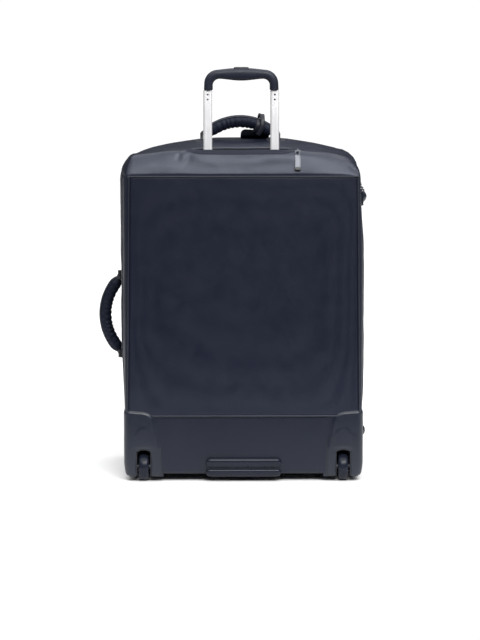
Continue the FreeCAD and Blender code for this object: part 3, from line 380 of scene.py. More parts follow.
def stamped(name, path, normal, step, shape, material, body, closed=False):
    """One mesh of many small copies of a shape, set along a path. shape gives points as (along, across, up)."""
    points, ways = resample(path, step, closed)
    corners, faces = shape
    corners = np.asarray(corners, float)
    count = len(corners)
    all_points, all_faces = [], []
    normal = np.asarray(normal, float)
    for i, (p, way) in enumerate(zip(points, ways)):
        up = normal[i] if normal.ndim == 2 else normal
        across = np.cross(up, way)
        across /= max(np.linalg.norm(across), 1e-9)
        up = np.cross(way, across)
        all_points.append(p + corners[:, :1] * way + corners[:, 1:2] * across + corners[:, 2:] * up)
        all_faces += [tuple(i * count + k for k in f) for f in faces]
    made = make(name, np.concatenate(all_points), all_faces, material, sharp=50)
    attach(made, body)
    return made


def capsule(length, width, height, rings=3, sides=6):
    """A stitch: a small spindle along the path."""
    points, faces = [], []
    for r in range(rings):
        t = -1 + 2 * (r + 0.5) / rings
        scale = math.sqrt(1 - t * t)
        for k in range(sides):
            angle = 2 * math.pi * k / sides
            points.append((t * length / 2, math.cos(angle) * width / 2 * scale,
                           math.sin(angle) * height / 2 * scale))
    faces += lattice(rings, sides, wrap_cols=True)
    faces += [tuple(range(sides)), tuple((rings - 1) * sides + k for k in reversed(range(sides)))]
    return points, faces


def brick(length, width, height):
    points = [(x * length / 2, y * width / 2, z * height / 2) for x in (-1, 1) for y in (-1, 1)
              for z in (-1, 1)]
    return points, [(0, 1, 3, 2), (4, 6, 7, 5), (0, 4, 5, 1), (2, 3, 7, 6), (0, 2, 6, 4), (1, 5, 7, 3)]


STITCH = capsule(2.5, 0.55, 0.5)
STITCH_STEP = 3.6


def stitches(name, path, normal, body):
    return stamped(name, path, normal, STITCH_STEP, STITCH, "thread", body)


# ---- the fabric body's outer surface ------------------------------------------------------------
RIDGE_LINE = [(-209, 615.5), (-180, 619.5), (-150, 622.5), (-112, 624.8), (100, 624.8), (150, 619.5),
              (188, 612.0)]
CREST_LINE = [(-209, 602.0), (-188, 611.0), (-173, 616.0), (-156, 620.0), (-137, 624.0), (-110, 628.2),
              (-85, 631.8),
              (-50, 634.5), (50, 635.0), (85, 632.5), (113, 628.2), (137, 624.2), (156, 620.0), (173, 616.0),
              (188, 611.5)]
SLOPE = [(0, 0.0), (0.025, 0.10), (0.1, 0.20), (0.3, 0.47), (0.5, 0.735), (0.6, 0.86), (0.7, 0.93),
         (0.85, 0.975), (1.0, 1.0)]
RIDGE_Y = 24.0
LEFT_SHOULDER, RIGHT_SHOULDER = (11.0, 2.2), (34.0, 1.8)    # width of each rounded end, and how boxy it is


def rumple(points, size, seed):
    """Slow uneven waves, one value for each point."""
    flat = points.reshape(-1, 3)
    values = [noise.noise(Vector(p) / size + Vector((seed, 2.3 * seed, -seed))) for p in flat.tolist()]
    return np.array(values).reshape(points.shape[:-1])


def along(table, value):
    xs, ys = zip(*table)
    return np.interp(value, xs, ys)


def blob(a, b, width):
    return np.exp(-((a / width[0]) ** 2 + (b / width[1]) ** 2))


def seam_x(z):
    """The back panel's side seams stand a little wider towards the floor."""
    return SEAM_X - 2.8 + 5.0 * (1 - np.clip((z - 130) / (SEAM_Z - 130), 0, 1))


def side_x(y, z, sign):
    """x of a side's outer face, with the bulge that the load and the foam give it."""
    turn = np.sqrt(np.clip(1 - (1 - np.clip(y / 8.0, 0, 1)) ** 2, 0, 1))
    base = seam_x(z) + (HALF - seam_x(z)) * turn
    depth = np.sin(np.clip(y / (LID_Y + 8), 0, 1) * math.pi) ** 0.9
    if sign < 0:
        base = base - 8.0 * smooth((z - 566) / 50)
        swell = 10.5 * smooth((z - 80) / 190) * (1 - 0.45 * smooth((z - 560) / 50))
        for end in (-1, 1):
            swell = swell * (1 - 0.95 * blob(y - 120, z - (SIDE_HANDLE_Z + end * 76), (34, 24)))
    else:
        base = base - 3.5 * smooth((z - 388) / 190) - 4.0 * smooth((z - 560) / 60)
        swell = 6.5 * smooth((z - 95) / 90) * (1 - 0.85 * smooth((z - 430) / 150))
        for fy, fz in SIDE_FEET:
            swell = swell * (1 - 0.98 * blob(y - fy, z - fz, (24, 30)))
    return sign * (base + swell * depth)


def base_corner(y):
    """Radius of the body's lower edges at depth y: tight behind, rounder towards the zip."""
    return 6.0 + 12.0 * smooth((y - 70) / 80)


def crown(x, y):
    """Height of the soft top between its rounded ends."""
    ridge, crest = along(RIDGE_LINE, x), along(CREST_LINE, x)
    climb = SEAM_Z + (ridge - SEAM_Z) * along(SLOPE, np.clip(y / RIDGE_Y, 0, 1))
    t = np.clip((y - RIDGE_Y) / (130 - RIDGE_Y), 0, 1)
    over = ridge + (crest - ridge) * np.sin(t * math.pi / 2) ** 0.9
    down = -7.0 * np.clip((y - 130) / 90, 0, 1.3) ** 2
    return np.where(y < RIDGE_Y, climb, over + down)


def top_section(y, ends=10, middle=100):
    """One row of the soft top at depth y (a number, or a value for each middle x): left end to right end."""
    deep = y if np.ndim(y) == 0 else None
    out = []
    for sign, (reach, boxy) in ((-1, LEFT_SHOULDER), (1, RIGHT_SHOULDER)):
        yy = deep if deep is not None else y[0 if sign < 0 else -1]
        width = float(side_x(np.array(yy), np.array(SEAM_Z), sign)) * sign
        start = float(side_x(np.array(yy), np.array(SEAM_Z + 40), sign)) * sign - reach
        height = float(crown(np.array(sign * min(start, 209 if sign < 0 else 188)), np.array(yy))) - SEAM_Z
        turn = np.linspace(0, math.pi / 2, ends)
        z = SEAM_Z + height * np.cos(turn) ** (2 / boxy)
        lean = smooth((SEAM_Z + 36 - z) / 36) * (width - start - reach)
        x = start + reach * np.sin(turn) ** (2 / boxy) + lean
        out.append((sign * x, np.full(ends, float(yy)), z))
    x = np.linspace(out[0][0][0], out[1][0][0], middle)
    yy = np.full(middle, float(deep)) if deep is not None else y
    z = crown(x, yy)
    left = [v[::-1][:-1] for v in out[0]]
    right = [v[1:] for v in out[1]]
    return np.stack([np.concatenate([left[k], (x, yy, z)[k], right[k]]) for k in range(3)], axis=1)


def ring(y, inset=0.0):
    """Closed loop round the body at depth y, from the middle of the bottom, to the right, over and back."""
    corner = base_corner(y)
    width = float(side_x(np.array(y), np.array(BASE_Z + corner), 1))
    arc = np.linspace(0, math.pi / 2, 9)
    right = [(x, BASE_Z) for x in np.linspace(0, width - corner, 40)[:-1]]
    right += [(width - corner + corner * math.sin(a), BASE_Z + corner - corner * math.cos(a)) for a in arc]
    heights = np.linspace(BASE_Z + corner, SEAM_Z, 86)[1:]
    right += [(float(side_x(np.array(y), np.array(z), 1)), z) for z in heights]
    top = top_section(y)[::-1]
    left_width = -float(side_x(np.array(y), np.array(BASE_Z + corner), -1))
    left = [(float(side_x(np.array(y), np.array(z), -1)), z) for z in heights[::-1][1:]]
    left += [(-(left_width - corner + corner * math.sin(a)), BASE_Z + corner - corner * math.cos(a))
             for a in arc[::-1]]
    left += [(-x, BASE_Z) for x in np.linspace(0, left_width - corner, 40)[1:-1][::-1]]
    loop = np.array(right + [(p[0], p[2]) for p in top] + left)
    if inset:
        ahead, behind = np.roll(loop, -1, 0), np.roll(loop, 1, 0)
        way = ahead - behind
        way /= np.maximum(np.linalg.norm(way, axis=1, keepdims=True), 1e-9)
        loop = loop + inset * np.stack([-way[:, 1], way[:, 0]], axis=1)
    return np.stack([loop[:, 0], np.full(len(loop), float(y)), loop[:, 1]], axis=1)


def relax(grid, rounds):
    """Evens out a grid and keeps its border."""
    for _ in range(rounds):
        grid[1:-1] = (grid[:-2] + 2 * grid[1:-1] + grid[2:]) / 4
        grid[:, 1:-1] = (grid[:, :-2] + 2 * grid[:, 1:-1] + grid[:, 2:]) / 4
    return grid


def edged(a, b, step, fine=(0.0, 0.8, 1.8, 3.2, 5.5)):
    """Values from a to b, closer together near both ends."""
    middle = np.arange(a + fine[-1] + step * 0.6, b - fine[-1] - step * 0.5, step)
    return np.concatenate([a + np.array(fine), middle, b - np.array(fine[::-1])])


def distance_to_edges(grid, edges):
    """How far each point lies from the named borders, along the cloth."""
    down = np.concatenate([np.zeros((1, grid.shape[1])),
                           np.cumsum(np.linalg.norm(np.diff(grid, axis=0), axis=2), 0)])
    over = np.concatenate([np.zeros((grid.shape[0], 1)),
                           np.cumsum(np.linalg.norm(np.diff(grid, axis=1), axis=2), 1)], 1)
    far = np.full(grid.shape[:2], 1e9)
    for edge in edges:
        far = np.minimum(far,
                         {"first": down, "last": down[-1:] - down, "left": over, "right": over[:, -1:]
                          - over}[edge])
    return far


def sewn(grid, edges, flip=False, depth=1.1, width=3.5, pucker=0.22, seed=1.0):
    """Turns a panel's edges in at its seams, and puckers the cloth beside them."""
    far = distance_to_edges(grid, edges)
    normal = normals_of(grid) * (-1 if flip else 1)
    roll = -depth * (1 - np.clip(far / width, 0, 1)) ** 2
    waves = rumple(grid, 4.5, seed) * pucker * np.exp(-far / 9.0) * np.clip(far / 2, 0, 1)
    return grid + normal * (roll + waves)[..., None]


def cloth(name, grid, thickness, outer, body, inner="lining", gone=None, flip=False, join=False):
    """A sheet of cloth whose outer face is the grid. gone(centres) tells which faces are left out."""
    points = grid.reshape(-1, 3)
    faces = lattice(*grid.shape[:2])
    if gone is not None:
        centres = points[np.array(faces)].mean(1)
        faces = [f for f, out in zip(faces, gone(centres)) if not out]
    if flip:
        faces = [tuple(reversed(f)) for f in faces]
    made = make(name, points, faces, outer)
    made.data.materials.append(MATS[inner])
    mesh = bmesh.new()
    mesh.from_mesh(made.data)
    if join:
        bmesh.ops.remove_doubles(mesh, verts=mesh.verts[:], dist=1e-5)
    loose = [v for v in mesh.verts if not v.link_faces]
    bmesh.ops.delete(mesh, geom=loose, context="VERTS")
    mesh.to_mesh(made.data)
    mesh.free()
    solid = made.modifiers.new("thickness", "SOLIDIFY")
    solid.thickness = thickness * MM
    solid.offset = -1.0
    solid.material_offset = 1
    apply(made)
    made.data.set_sharp_from_angle(angle=math.radians(50))
    if body:
        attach(made, body)
    return made


# ---- back, base, sides and top ------------------------------------------------------------------
def back_panel():
    heights, across = edged(KICK_Z, SEAM_Z, 5.0), edged(-1.0, 1.0, 0.0125,
                                                        fine=(0.0, 0.003, 0.007, 0.013, 0.024))
    z, u = np.meshgrid(heights, across, indexing="ij")
    grid = np.stack([u * (seam_x(z) - 1.2), np.zeros_like(z), z], axis=2)
    swell = 1.3 * np.clip(np.sin((z - KICK_Z) / (SEAM_Z - KICK_Z) * math.pi), 0, 1) ** 0.5 * (1 - u ** 6)
    grid[..., 1] = 0.2 - swell + 0.25 * rumple(grid, 140.0, 3.0) + 0.05 * rumple(grid, 26.0, 8.0)
    grid = sewn(grid, ("last", "left", "right"), seed=4.0)
    piece = cloth("back_panel_cloth", grid, 3.0, "nylon", "case")
    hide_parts("back_panel")
    x = np.linspace(-seam_x(KICK_Z) + 2, seam_x(KICK_Z) - 2, 120)
    hem = tube("back_hem", np.stack([x, np.full_like(x, -0.3), np.full_like(x, KICK_Z + 2.9)], 1), 1.35,
               "piping", sides=12)
    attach(hem, "case")
    zigzag = np.stack([x, np.full_like(x, -1.75), np.full_like(x, KICK_Z + 3.4)], 1)
    wide = stamped("back_hem_stitches", zigzag, (0, -1, 0), 2.9, capsule(2.3, 0.6, 0.5), "thread_light",
                   "case")
    top = np.stack([x, np.full_like(x, 0.05), np.full_like(x, SEAM_Z - 5.2)], 1)
    stitches("back_top_stitches", top, (0, -1, 0), "case")


def back_piping():
    heights = np.linspace(GUARD_TOP - 6, SEAM_Z - 2.2, 90)
    left = [(-float(seam_x(np.array(z))), -0.9, z) for z in heights]
    bend = [(-SEAM_X + 2.2 - 2.2 * math.cos(a), -0.9, SEAM_Z - 2.2 + 2.2 * math.sin(a))
            for a in np.linspace(0, math.pi / 2, 6)[1:]]
    over = [(x, -0.9, SEAM_Z) for x in np.linspace(-SEAM_X + 2.2, SEAM_X - 2.2, 90)[1:-1]]
    half = left + bend
    path = half + over + [(-x, y, z) for x, y, z in half[::-1]]
    cord = tube("back_piping_cord", path, 1.35, "piping", sides=12)
    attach(cord, "case")
    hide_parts("back_piping")


def in_wheel_pocket(p):
    near = np.abs(np.abs(p[:, 0]) - WHEEL_X) < 18.5
    return near & (p[:, 1] < 50.0) & (p[:, 2] < 62.5)


def base_cover():
    """Coated cloth: kick panel behind, and the underside back to the zip."""
    bend, low = 6.0, BASE_Z
    face = [(0.0, z) for z in edged(low + bend, KICK_Z - 1.2, 4.0)[::-1]]
    turn = [(bend - bend * math.cos(a), low + bend - bend * math.sin(a))
            for a in np.linspace(0, math.pi / 2, 8)[1:]]
    under = [(y, low) for y in edged(bend, CASE_EDGE, 5.0)[1:]]
    path = np.array(face + turn + under)
    across = np.linspace(-1, 1, 91)
    rows = []
    for y, z in path:
        reach = float(seam_x(np.array(z))) - 1.0
        if y > bend:
            reach = HALF - base_corner(y)
        rows.append(np.stack([across * reach, np.full_like(across, y), np.full_like(across, z)], 1))
    grid = np.array(rows)
    wave = 0.5 * rumple(grid, 120.0, 6.0) + 0.15 * rumple(grid, 24.0, 9.0)
    grid[..., 1] += np.where(grid[..., 1] < 3, 0.7 + wave, 0)
    grid[..., 2] += np.where(grid[..., 1] > 12, -0.4 * wave, 0)
    piece = cloth("base_cover_cloth", grid, 3.0, "coated", "case", gone=in_wheel_pocket, flip=True)
    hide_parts("base_cover")


def side_panels():
    for sign, side in ((-1, "left"), (1, "right")):
        depths = edged(0.0, CASE_EDGE, 5.0, fine=(0.0, 0.25, 0.9, 2.0, 3.6, 5.6, 8.0))
        rows = []
        for z in edged(BASE_Z, SEAM_Z, 5.0):
            x = side_x(depths, np.full_like(depths, z), sign)
            corner = base_corner(depths)
            lift = np.clip(1 - (z - BASE_Z) / corner, 0, 1)
            x = x - sign * corner * (1 - np.sqrt(1 - lift ** 2))
            rows.append(np.stack([x, depths, np.full_like(depths, z)], 1))
        grid = np.array(rows)
        normal = np.zeros_like(grid)
        normal[..., 0] = sign
        calm = smooth((grid[..., 2] - 140) / 60) * smooth(grid[..., 1] / 40)
        ripple = (1.6 * rumple(grid * np.array([1, 1.6, 0.8]), 90.0, 5.0 + sign)
                  + 0.5 * rumple(grid, 30.0, 2.0 + sign)) * calm
        grid += normal * ripple[..., None]
        groove = -1.1 * np.exp(-((grid[..., 1] - PIPING_Y) / 2.2) ** 2)
        grid += normal * (groove * smooth((grid[..., 2] - 90) / 60))[..., None]
        grid = sewn(grid, ("last",), flip=sign < 0, seed=6.0 + sign, depth=1.2, width=4.0)
        piece = cloth(f"side_{side}_cloth", grid, 3.2, "gusset", "case", flip=sign < 0,
                      gone=lambda p: (p[:, 1] < 50) & (p[:, 2] < 60) & (np.abs(p[:, 0]) < HALF
                                                                        - 1.5) & (p[:, 1] > 60))
        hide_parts(f"side_panel_{side}")
        heights = np.linspace(GUARD_TOP - 8, SEAM_Z - 1.5, 120)
        column = int(np.argmin(np.abs(depths - PIPING_Y)))
        line = [(float(np.interp(z, grid[:, column, 2], grid[:, column, 0])) + sign * 0.5, PIPING_Y, z)
                for z in heights]
        cord = tube(f"side_{side}_piping", line, 1.25, "piping", sides=10)
        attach(cord, "case")
        for shift in (4.5, -4.5):
            column = int(np.argmin(np.abs(depths - PIPING_Y - shift)))
            heights = np.linspace(GUARD_TOP + 3, SEAM_Z - 4, 120)
            line = [(float(np.interp(z, grid[:, column, 2], grid[:, column, 0])) + sign * 0.1,
                     depths[column], z) for z in heights]
            stitches(f"side_{side}_stitches_{'front' if shift > 0 else 'back'}", line, (sign, 0, 0),
                             "case")


FOLDS = [((-113, 23), (-122, 12), 3.4, -3.0), ((-116, 20), (-108, 8), 5.0, 1.2),
         ((-120, 26), (-150, 34), 4.0, -1.6),
         ((-112, 33), (-142, 52), 4.0, -1.4), ((-120, 42), (-160, 70), 6.0, 1.6),
         ((199, 12), (214, 5), 4.5, -2.6),
         ((190, 18), (212, 13), 4.5, 1.6), ((165, 26), (196, 20), 5.5, -1.7),
         ((150, 34), (185, 30), 5.5, 1.5),
         ((125, 34), (170, 44), 5.0, -1.3), ((60, 12), (168, 14), 6.5, 1.1), ((-90, 11), (-40, 6), 6.0, 1.0),
         ((-60, 15), (30, 14), 5.0, -0.8), ((-205, 14), (-150, 9), 6.0, 1.1),
         ((-190, 28), (-160, 20), 7.0, -1.2),
         ((-95, 15), (-112, 5), 5.0, -1.3), ((-180, 60), (-120, 90), 9.0, -1.8),
         ((120, 70), (190, 95), 9.0, -1.8)]


def folded(grid):
    """Adds the soft top's folds: ridges and dents along short lines in plan, given as (x, y) ends."""
    lift = np.zeros(grid.shape[:2])
    x, y = grid[..., 0], grid[..., 1]
    for (ax, ay), (bx, by), width, height in FOLDS:
        dx, dy = bx - ax, by - ay
        t = np.clip(((x - ax) * dx + (y - ay) * dy) / (dx * dx + dy * dy), 0, 1)
        stretch = np.where(y < RIDGE_Y, 1.9, 1.0)
        far = np.hypot(x - ax - t * dx, (y - ay - t * dy) * stretch)
        taper = 0.35 + 0.65 * np.sin(np.clip(t, 0.0, 1.0) * math.pi * 0.9 + 0.1)
        lift += height * taper * np.exp(-(far / width) ** 2)
    return lift


def slot_edges(x):
    """Near and far edges of the handle slot at each x: they meet at its two ends."""
    reach = np.abs(x - TROLLEY_X)
    open_by = 10.2 * np.clip(1 - np.clip((reach - 76) / 32, 0, 1) ** 1.6, 0, 1)
    return TUBE_Y - open_by, TUBE_Y + open_by


def top_rows():
    """Rows of the soft top's grid in plan: the slope up to the slot, then the crown from the slot forward."""
    probe = top_section(TUBE_Y)
    ends = 9
    x = probe[ends:-ends, 0]
    near, far = slot_edges(x)
    fine = np.array([0, 0.02, 0.05, 0.09, 0.14, 0.2, 0.27, 0.34, 0.42, 0.5, 0.58, 0.66, 0.73, 0.8, 0.86,
                     0.91, 0.95, 0.98, 1.0])
    slope = np.array([top_section(near * t) for t in fine])
    steps = np.concatenate([[0, 0.004, 0.012, 0.024, 0.04], np.linspace(0.065, 0.97, 34),
                            [0.982, 0.992, 1.0]])
    over = np.array([top_section(far + (CASE_EDGE - far) * t) for t in steps])
    return slope, over


def soft_top():
    slope, over = top_rows()
    edge = len(slope) - 1
    plain = relax(np.concatenate([slope, over[1:]]), 3)
    slope[:-1, :, 2] = plain[:edge, :, 2]
    over[1:, :, 2] = plain[edge + 1:, :, 2]
    for grid in (slope, over):
        normal = normals_of(grid)
        calm = smooth((grid[..., 1]) / 8) * smooth((CASE_EDGE - grid[..., 1]) / 14)
        soft = 1.5 * rumple(grid * np.array([0.7, 1.3, 0.8]), 60.0, 2.0) + 0.55 * rumple(grid, 22.0, 7.0)
        handle = 1 - 0.9 * np.exp(-(np.maximum(np.abs(grid[..., 0] + 5) - 90, 0) / 20) ** 2
                                  - ((grid[..., 1] - 130) / 30) ** 2)
        sags = 2.3 * rumple(grid * np.array([0.30, 1.2, 1.6]), 34.0, 5.0) * smooth((26 - grid[..., 1]) / 8)
        grid += normal * ((soft + sags + folded(grid)) * calm * handle)[..., None]
    for grid, rows, lift in ((slope, slice(-6, None), (0.2, 0.5, 0.8, 1.0, 1.0, 0.6)),
                             (over, slice(0, 3), (0.2, 0.4, 0.2))):
        near_slot = np.clip(1 - (np.abs(grid[0, :, 0] - TROLLEY_X) - 96) / 18, 0, 1)
        grid[rows, :, 2] += near_slot * np.array(lift)[:, None]
    meet = (slope[-1] + over[0]) / 2
    closed = np.abs(slope[-1, :, 1] - over[0, :, 1]) < 0.05
    slope[-1, closed] = meet[closed]
    over[0, closed] = meet[closed]
    slope = sewn(slope, ("first",), seed=9.0, depth=1.4, width=4.0, pucker=0.5)
    over = sewn(over, ("last",), seed=3.0, depth=0.4, width=3.0)
    grid = np.concatenate([slope, over])
    rows, cols = slope.shape[0], slope.shape[1]
    open_cols = ~closed

    def in_slot(centres):
        out = np.zeros(len(centres), bool)
        first = (rows - 1) * (cols - 1)
        gap = open_cols[:-1] | open_cols[1:]
        out[first:first + cols - 1] = gap
        return out

    piece = cloth("soft_top_cloth", grid, 2.6, "nylon", "case", gone=in_slot, join=True)
    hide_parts("top_panel")
    return slope, over


# ---- lid ----------------------------------------------------------------------------------------
def rounded_ring(y, inset):
    """The ring drawn in by the inset, its tight corners eased so that they never fold over."""
    loop = ring(y, inset=inset)
    for _ in range(int(round(2.0 * inset))):
        loop = 0.5 * loop + 0.25 * (np.roll(loop, 1, 0) + np.roll(loop, -1, 0))
    return loop


def lid():
    centre = np.array([0.0, 0.0, 318.0])
    steps = [(LID_EDGE, 1.0, 0.0), (LID_EDGE + 1.5, 1.0, 0.0), (LID_EDGE + 4, 1.0, 0.0), (230.0, 1.0, 0),
             (236.0, 1.0, 0), (241.0, 1.0, 0.2)]
    bend = 17.0
    for a in np.linspace(0.15, math.pi / 2, 9):
        steps.append((DEPTH - bend + bend * math.sin(a), 1.0, bend * (1 - math.cos(a))))
    for k in np.linspace(0.05, 0.97, 26):
        steps.append((DEPTH + 0.2 + 1.6 * math.sin(min(k * 2, 1.0) * math.pi / 2), 1.0 - k, bend))
    rows = []
    for y, scale, inset in steps:
        loop = rounded_ring(LID_EDGE, inset)
        loop[:, 1] = y
        loop[:, 0] = centre[0] + (loop[:, 0] - centre[0]) * scale
        loop[:, 2] = centre[2] + (loop[:, 2] - centre[2]) * scale
        rows.append(loop)
    grid = np.array(rows)
    wave = 0.8 * rumple(grid, 100.0, 12.0) + 0.3 * rumple(grid, 24.0, 5.0)
    grid[5:, :, 1] += np.clip(wave[5:], -1.2, 0.8) * 0.8
    count = grid.shape[1]
    points = grid.reshape(-1, 3)
    faces = [tuple(reversed(f)) for f in lattice(len(rows), count, wrap_cols=True)]
    last = (len(rows) - 1) * count
    faces.append(tuple(last + k for k in range(count))[::-1])
    made = make("lid_cloth", points, faces, "nylon")
    made.data.materials.append(MATS["lining"])
    solid = made.modifiers.new("thickness", "SOLIDIFY")
    solid.thickness, solid.offset, solid.material_offset = 3.0 * MM, -1.0, 1
    apply(made)
    made.data.set_sharp_from_angle(angle=math.radians(50))
    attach(made, "lid")
    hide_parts("lid_panel")
    edge = rounded_ring(LID_EDGE, 4.6)
    edge[:, 1] = DEPTH - 5.0
    cord = tube("lid_piping", edge[::2], 1.6, "piping", sides=8, closed=True)
    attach(cord, "lid")


def case_rim_piping():
    """Corded seam that runs round the case a little behind the zip."""
    loop = ring(CASE_EDGE - 7.0, inset=-0.5)
    cord = tube("rim_piping", loop[::2], 1.3, "piping", sides=8, closed=True)
    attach(cord, "case")


def rounded_loop(cx, cz, half_x, half_z, radii, count=14):
    """Loop of a rounded rectangle in the X-Z plane; radii from bottom right, anticlockwise from outside."""
    points = []
    corners = [(1, -1, -90), (1, 1, 0), (-1, 1, 90), (-1, -1, 180)]
    for (sx, sz, start), radius in zip(corners, radii):
        for a in np.radians(np.linspace(start, start + 90, count)):
            points.append((cx + sx * (half_x - radius) + radius * math.cos(a), cz + sz * (half_z - radius)
                           + radius * math.sin(a)))
    out = []
    for a, b in zip(points, points[1:] + points[:1]):
        length = math.hypot(b[0] - a[0], b[1] - a[1])
        for k in range(max(1, int(length / 9))):
            t = k / max(1, int(length / 9))
            out.append((a[0] + (b[0] - a[0]) * t, a[1] + (b[1] - a[1]) * t))
    return np.array(out)


def pillow(name, loop, base, thick, crown_by, material, body, seed=1.0):
    """A stuffed flat panel on a plane of constant y: rounded rim, crowned and rumpled face."""
    centre = loop.mean(0)
    half = np.abs(loop - centre).max(0)
    steps = [(base, 1.5), (base + thick * 0.35, 0.2), (base + thick * 0.7, 0.5), (base + thick * 0.92, 1.6),
             (base + thick, 3.4)]
    rows = []
    for y, inset in steps:
        shrunk = centre + (loop - centre) * (1 - inset / half)
        rows.append(np.stack([shrunk[:, 0], np.full(len(loop), y), shrunk[:, 1]], 1))
    for k in np.linspace(0.05, 0.97, 24):
        inset = 3.4
        shrunk = centre + (loop - centre) * (1 - inset / half) * (1 - k)
        y = base + thick + crown_by * math.sin(min(1.0, k * 1.6) * math.pi / 2)
        rows.append(np.stack([shrunk[:, 0], np.full(len(loop), y), shrunk[:, 1]], 1))
    grid = np.array(rows)
    wave = 0.7 * rumple(grid, 70.0, seed) + 0.35 * rumple(grid, 18.0, seed + 4)
    grid[4:, :, 1] += wave[4:]
    count = grid.shape[1]
    faces = [tuple(reversed(f)) for f in lattice(len(rows), count, wrap_cols=True)]
    faces.append(tuple(range(count)))
    faces.append(tuple((len(rows) - 1) * count + k for k in reversed(range(count))))
    piece = make(name, grid.reshape(-1, 3), faces, material, sharp=50)
    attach(piece, body)
    return piece


def front_pocket():
    lo, hi = mm_box("front_pocket")
    zip_z = (mm_box("pocket_zip_tape")[0].z + mm_box("pocket_zip_tape")[1].z) / 2
    mid, half = (lo.x + hi.x) / 2, (hi.x - lo.x) / 2
    y0 = DEPTH + 1.6
    low = rounded_loop(mid, (lo.z + zip_z - 9) / 2, half, (zip_z - 9 - lo.z) / 2, (26, 3, 3, 26))
    high = rounded_loop(mid, (zip_z + 9 + hi.z) / 2, half, (hi.z - zip_z - 9) / 2, (3, 26, 26, 3))
    for name, loop, crown_by, seed in (("pocket_lower", low, 2.6, 3.0), ("pocket_upper", high, 0.8, 7.0)):
        piece = pillow(name, loop, y0, 3.6, crown_by, "nylon", "lid", seed)
        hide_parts("front_pocket")
    around = rounded_loop(mid, (lo.z + hi.z) / 2, half + 1.5, (hi.z - lo.z) / 2 + 1.5, (27, 27, 27, 27))
    path = np.stack([around[:, 0], np.full(len(around), y0 + 0.6), around[:, 1]], 1)
    cord = tube("pocket_piping", path, 1.4, "piping", sides=8, closed=True)
    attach(cord, "lid")
    x = np.linspace(mid - half + 14, mid + half - 14, 100)
    for z, name in ((zip_z - 14.5, "pocket_stitches_low"), (zip_z + 14.5, "pocket_stitches_high")):
        line = np.stack([x, np.full_like(x, y0 + 3.9), np.full_like(x, z)], 1)
        stitches(name, line, (0, 1, 0), "lid")
    tape = np.stack(np.meshgrid(np.linspace(mid - half + 2, mid + half - 2, 120),
                                np.linspace(zip_z - 10, zip_z + 10, 9)), axis=2)
    grid = np.stack([tape[..., 0], np.full(tape.shape[:2], y0 + 2.2), tape[..., 1]], axis=2)
    piece = cloth("pocket_zip_tape_cloth", grid, 0.8, "zip_tape", "lid", inner="zip_tape", flip=True)
    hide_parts("pocket_zip_tape")
    line = np.stack([x, np.full_like(x, y0 + 3.1), np.full_like(x, zip_z)], 1)
    for side in (-1, 1):
        row = line + np.array([0, 0, side * 1.0])
        stamped(f"pocket_teeth_{'low' if side < 0 else 'high'}", row, (0, 1, 0), 2.0,
                        brick(1.2, 2.6, 1.5), "zip_teeth", "lid")


# ---- zips ---------------------------------------------------------------------------------------
def main_zip():
    for side, body, node in ((-1, "case", "main_zip_case_half"), (1, "lid", "main_zip_lid_half")):
        loop = ring(LID_Y)
        keep = ~((loop[:, 0] > HALF - 16.5) & (loop[:, 2] > 34) & (loop[:, 2] < SEAM_Z - 8))
        start = int(np.argmax(~keep))
        order = np.roll(np.arange(len(loop)), -start)
        run = loop[[i for i in order if keep[i]]]
        ahead = np.gradient(run, axis=0)
        ahead /= np.maximum(np.linalg.norm(ahead, axis=1, keepdims=True), 1e-9)
        out = np.stack([ahead[:, 2], np.zeros(len(run)), -ahead[:, 0]], 1)
        rows = [run - out * 3.6 + np.array([0, side * d, 0]) for d in (0.4, 3.0, 6.0, 9.0, 12.0)]
        grid = np.array(rows)
        piece = cloth(f"{node}_tape", grid, 0.8, "zip_tape", body, inner="zip_tape", flip=side > 0)
        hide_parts(node)
        line = run - out * 2.1 + np.array([0, side * 1.25, 0])
        spaced, _ = resample(line, 2.6)
        which = np.array([np.argmin(np.abs(line - p).sum(1)) for p in spaced])
        teeth = stamped(f"{node}_teeth", line, out[which], 2.6, brick(1.5, 3.2, 2.4), "zip_teeth", body)
        cord = tube(f"{node}_cord", run - out * 2.4 + np.array([0, side * 3.4, 0]), 0.9, "zip_tape", sides=6)
        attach(cord, body)


def hinge_strip():
    """Cloth that joins the case and the lid along one side."""
    heights = np.linspace(30, SEAM_Z - 4, 100)
    depths = np.array([CASE_EDGE - 1.5, CASE_EDGE, CASE_EDGE + 2, LID_Y - 1.5, LID_Y, LID_Y + 1.5, LID_EDGE
                       - 2, LID_EDGE, LID_EDGE + 1.5])
    rows = []
    for z in heights:
        x = side_x(depths, np.full_like(depths, z),
                   1) - 1.0 + 0.9 * np.sin((depths - CASE_EDGE) / 10 * math.pi)
        rows.append(np.stack([x, depths, np.full_like(depths, z)], 1))
    piece = cloth("lid_hinge_cloth", np.array(rows), 1.2, "nylon", None, inner="nylon")
    anchor = to_metres([(HALF, CASE_EDGE, 300), (HALF, LID_EDGE, 300)])
    return piece, anchor


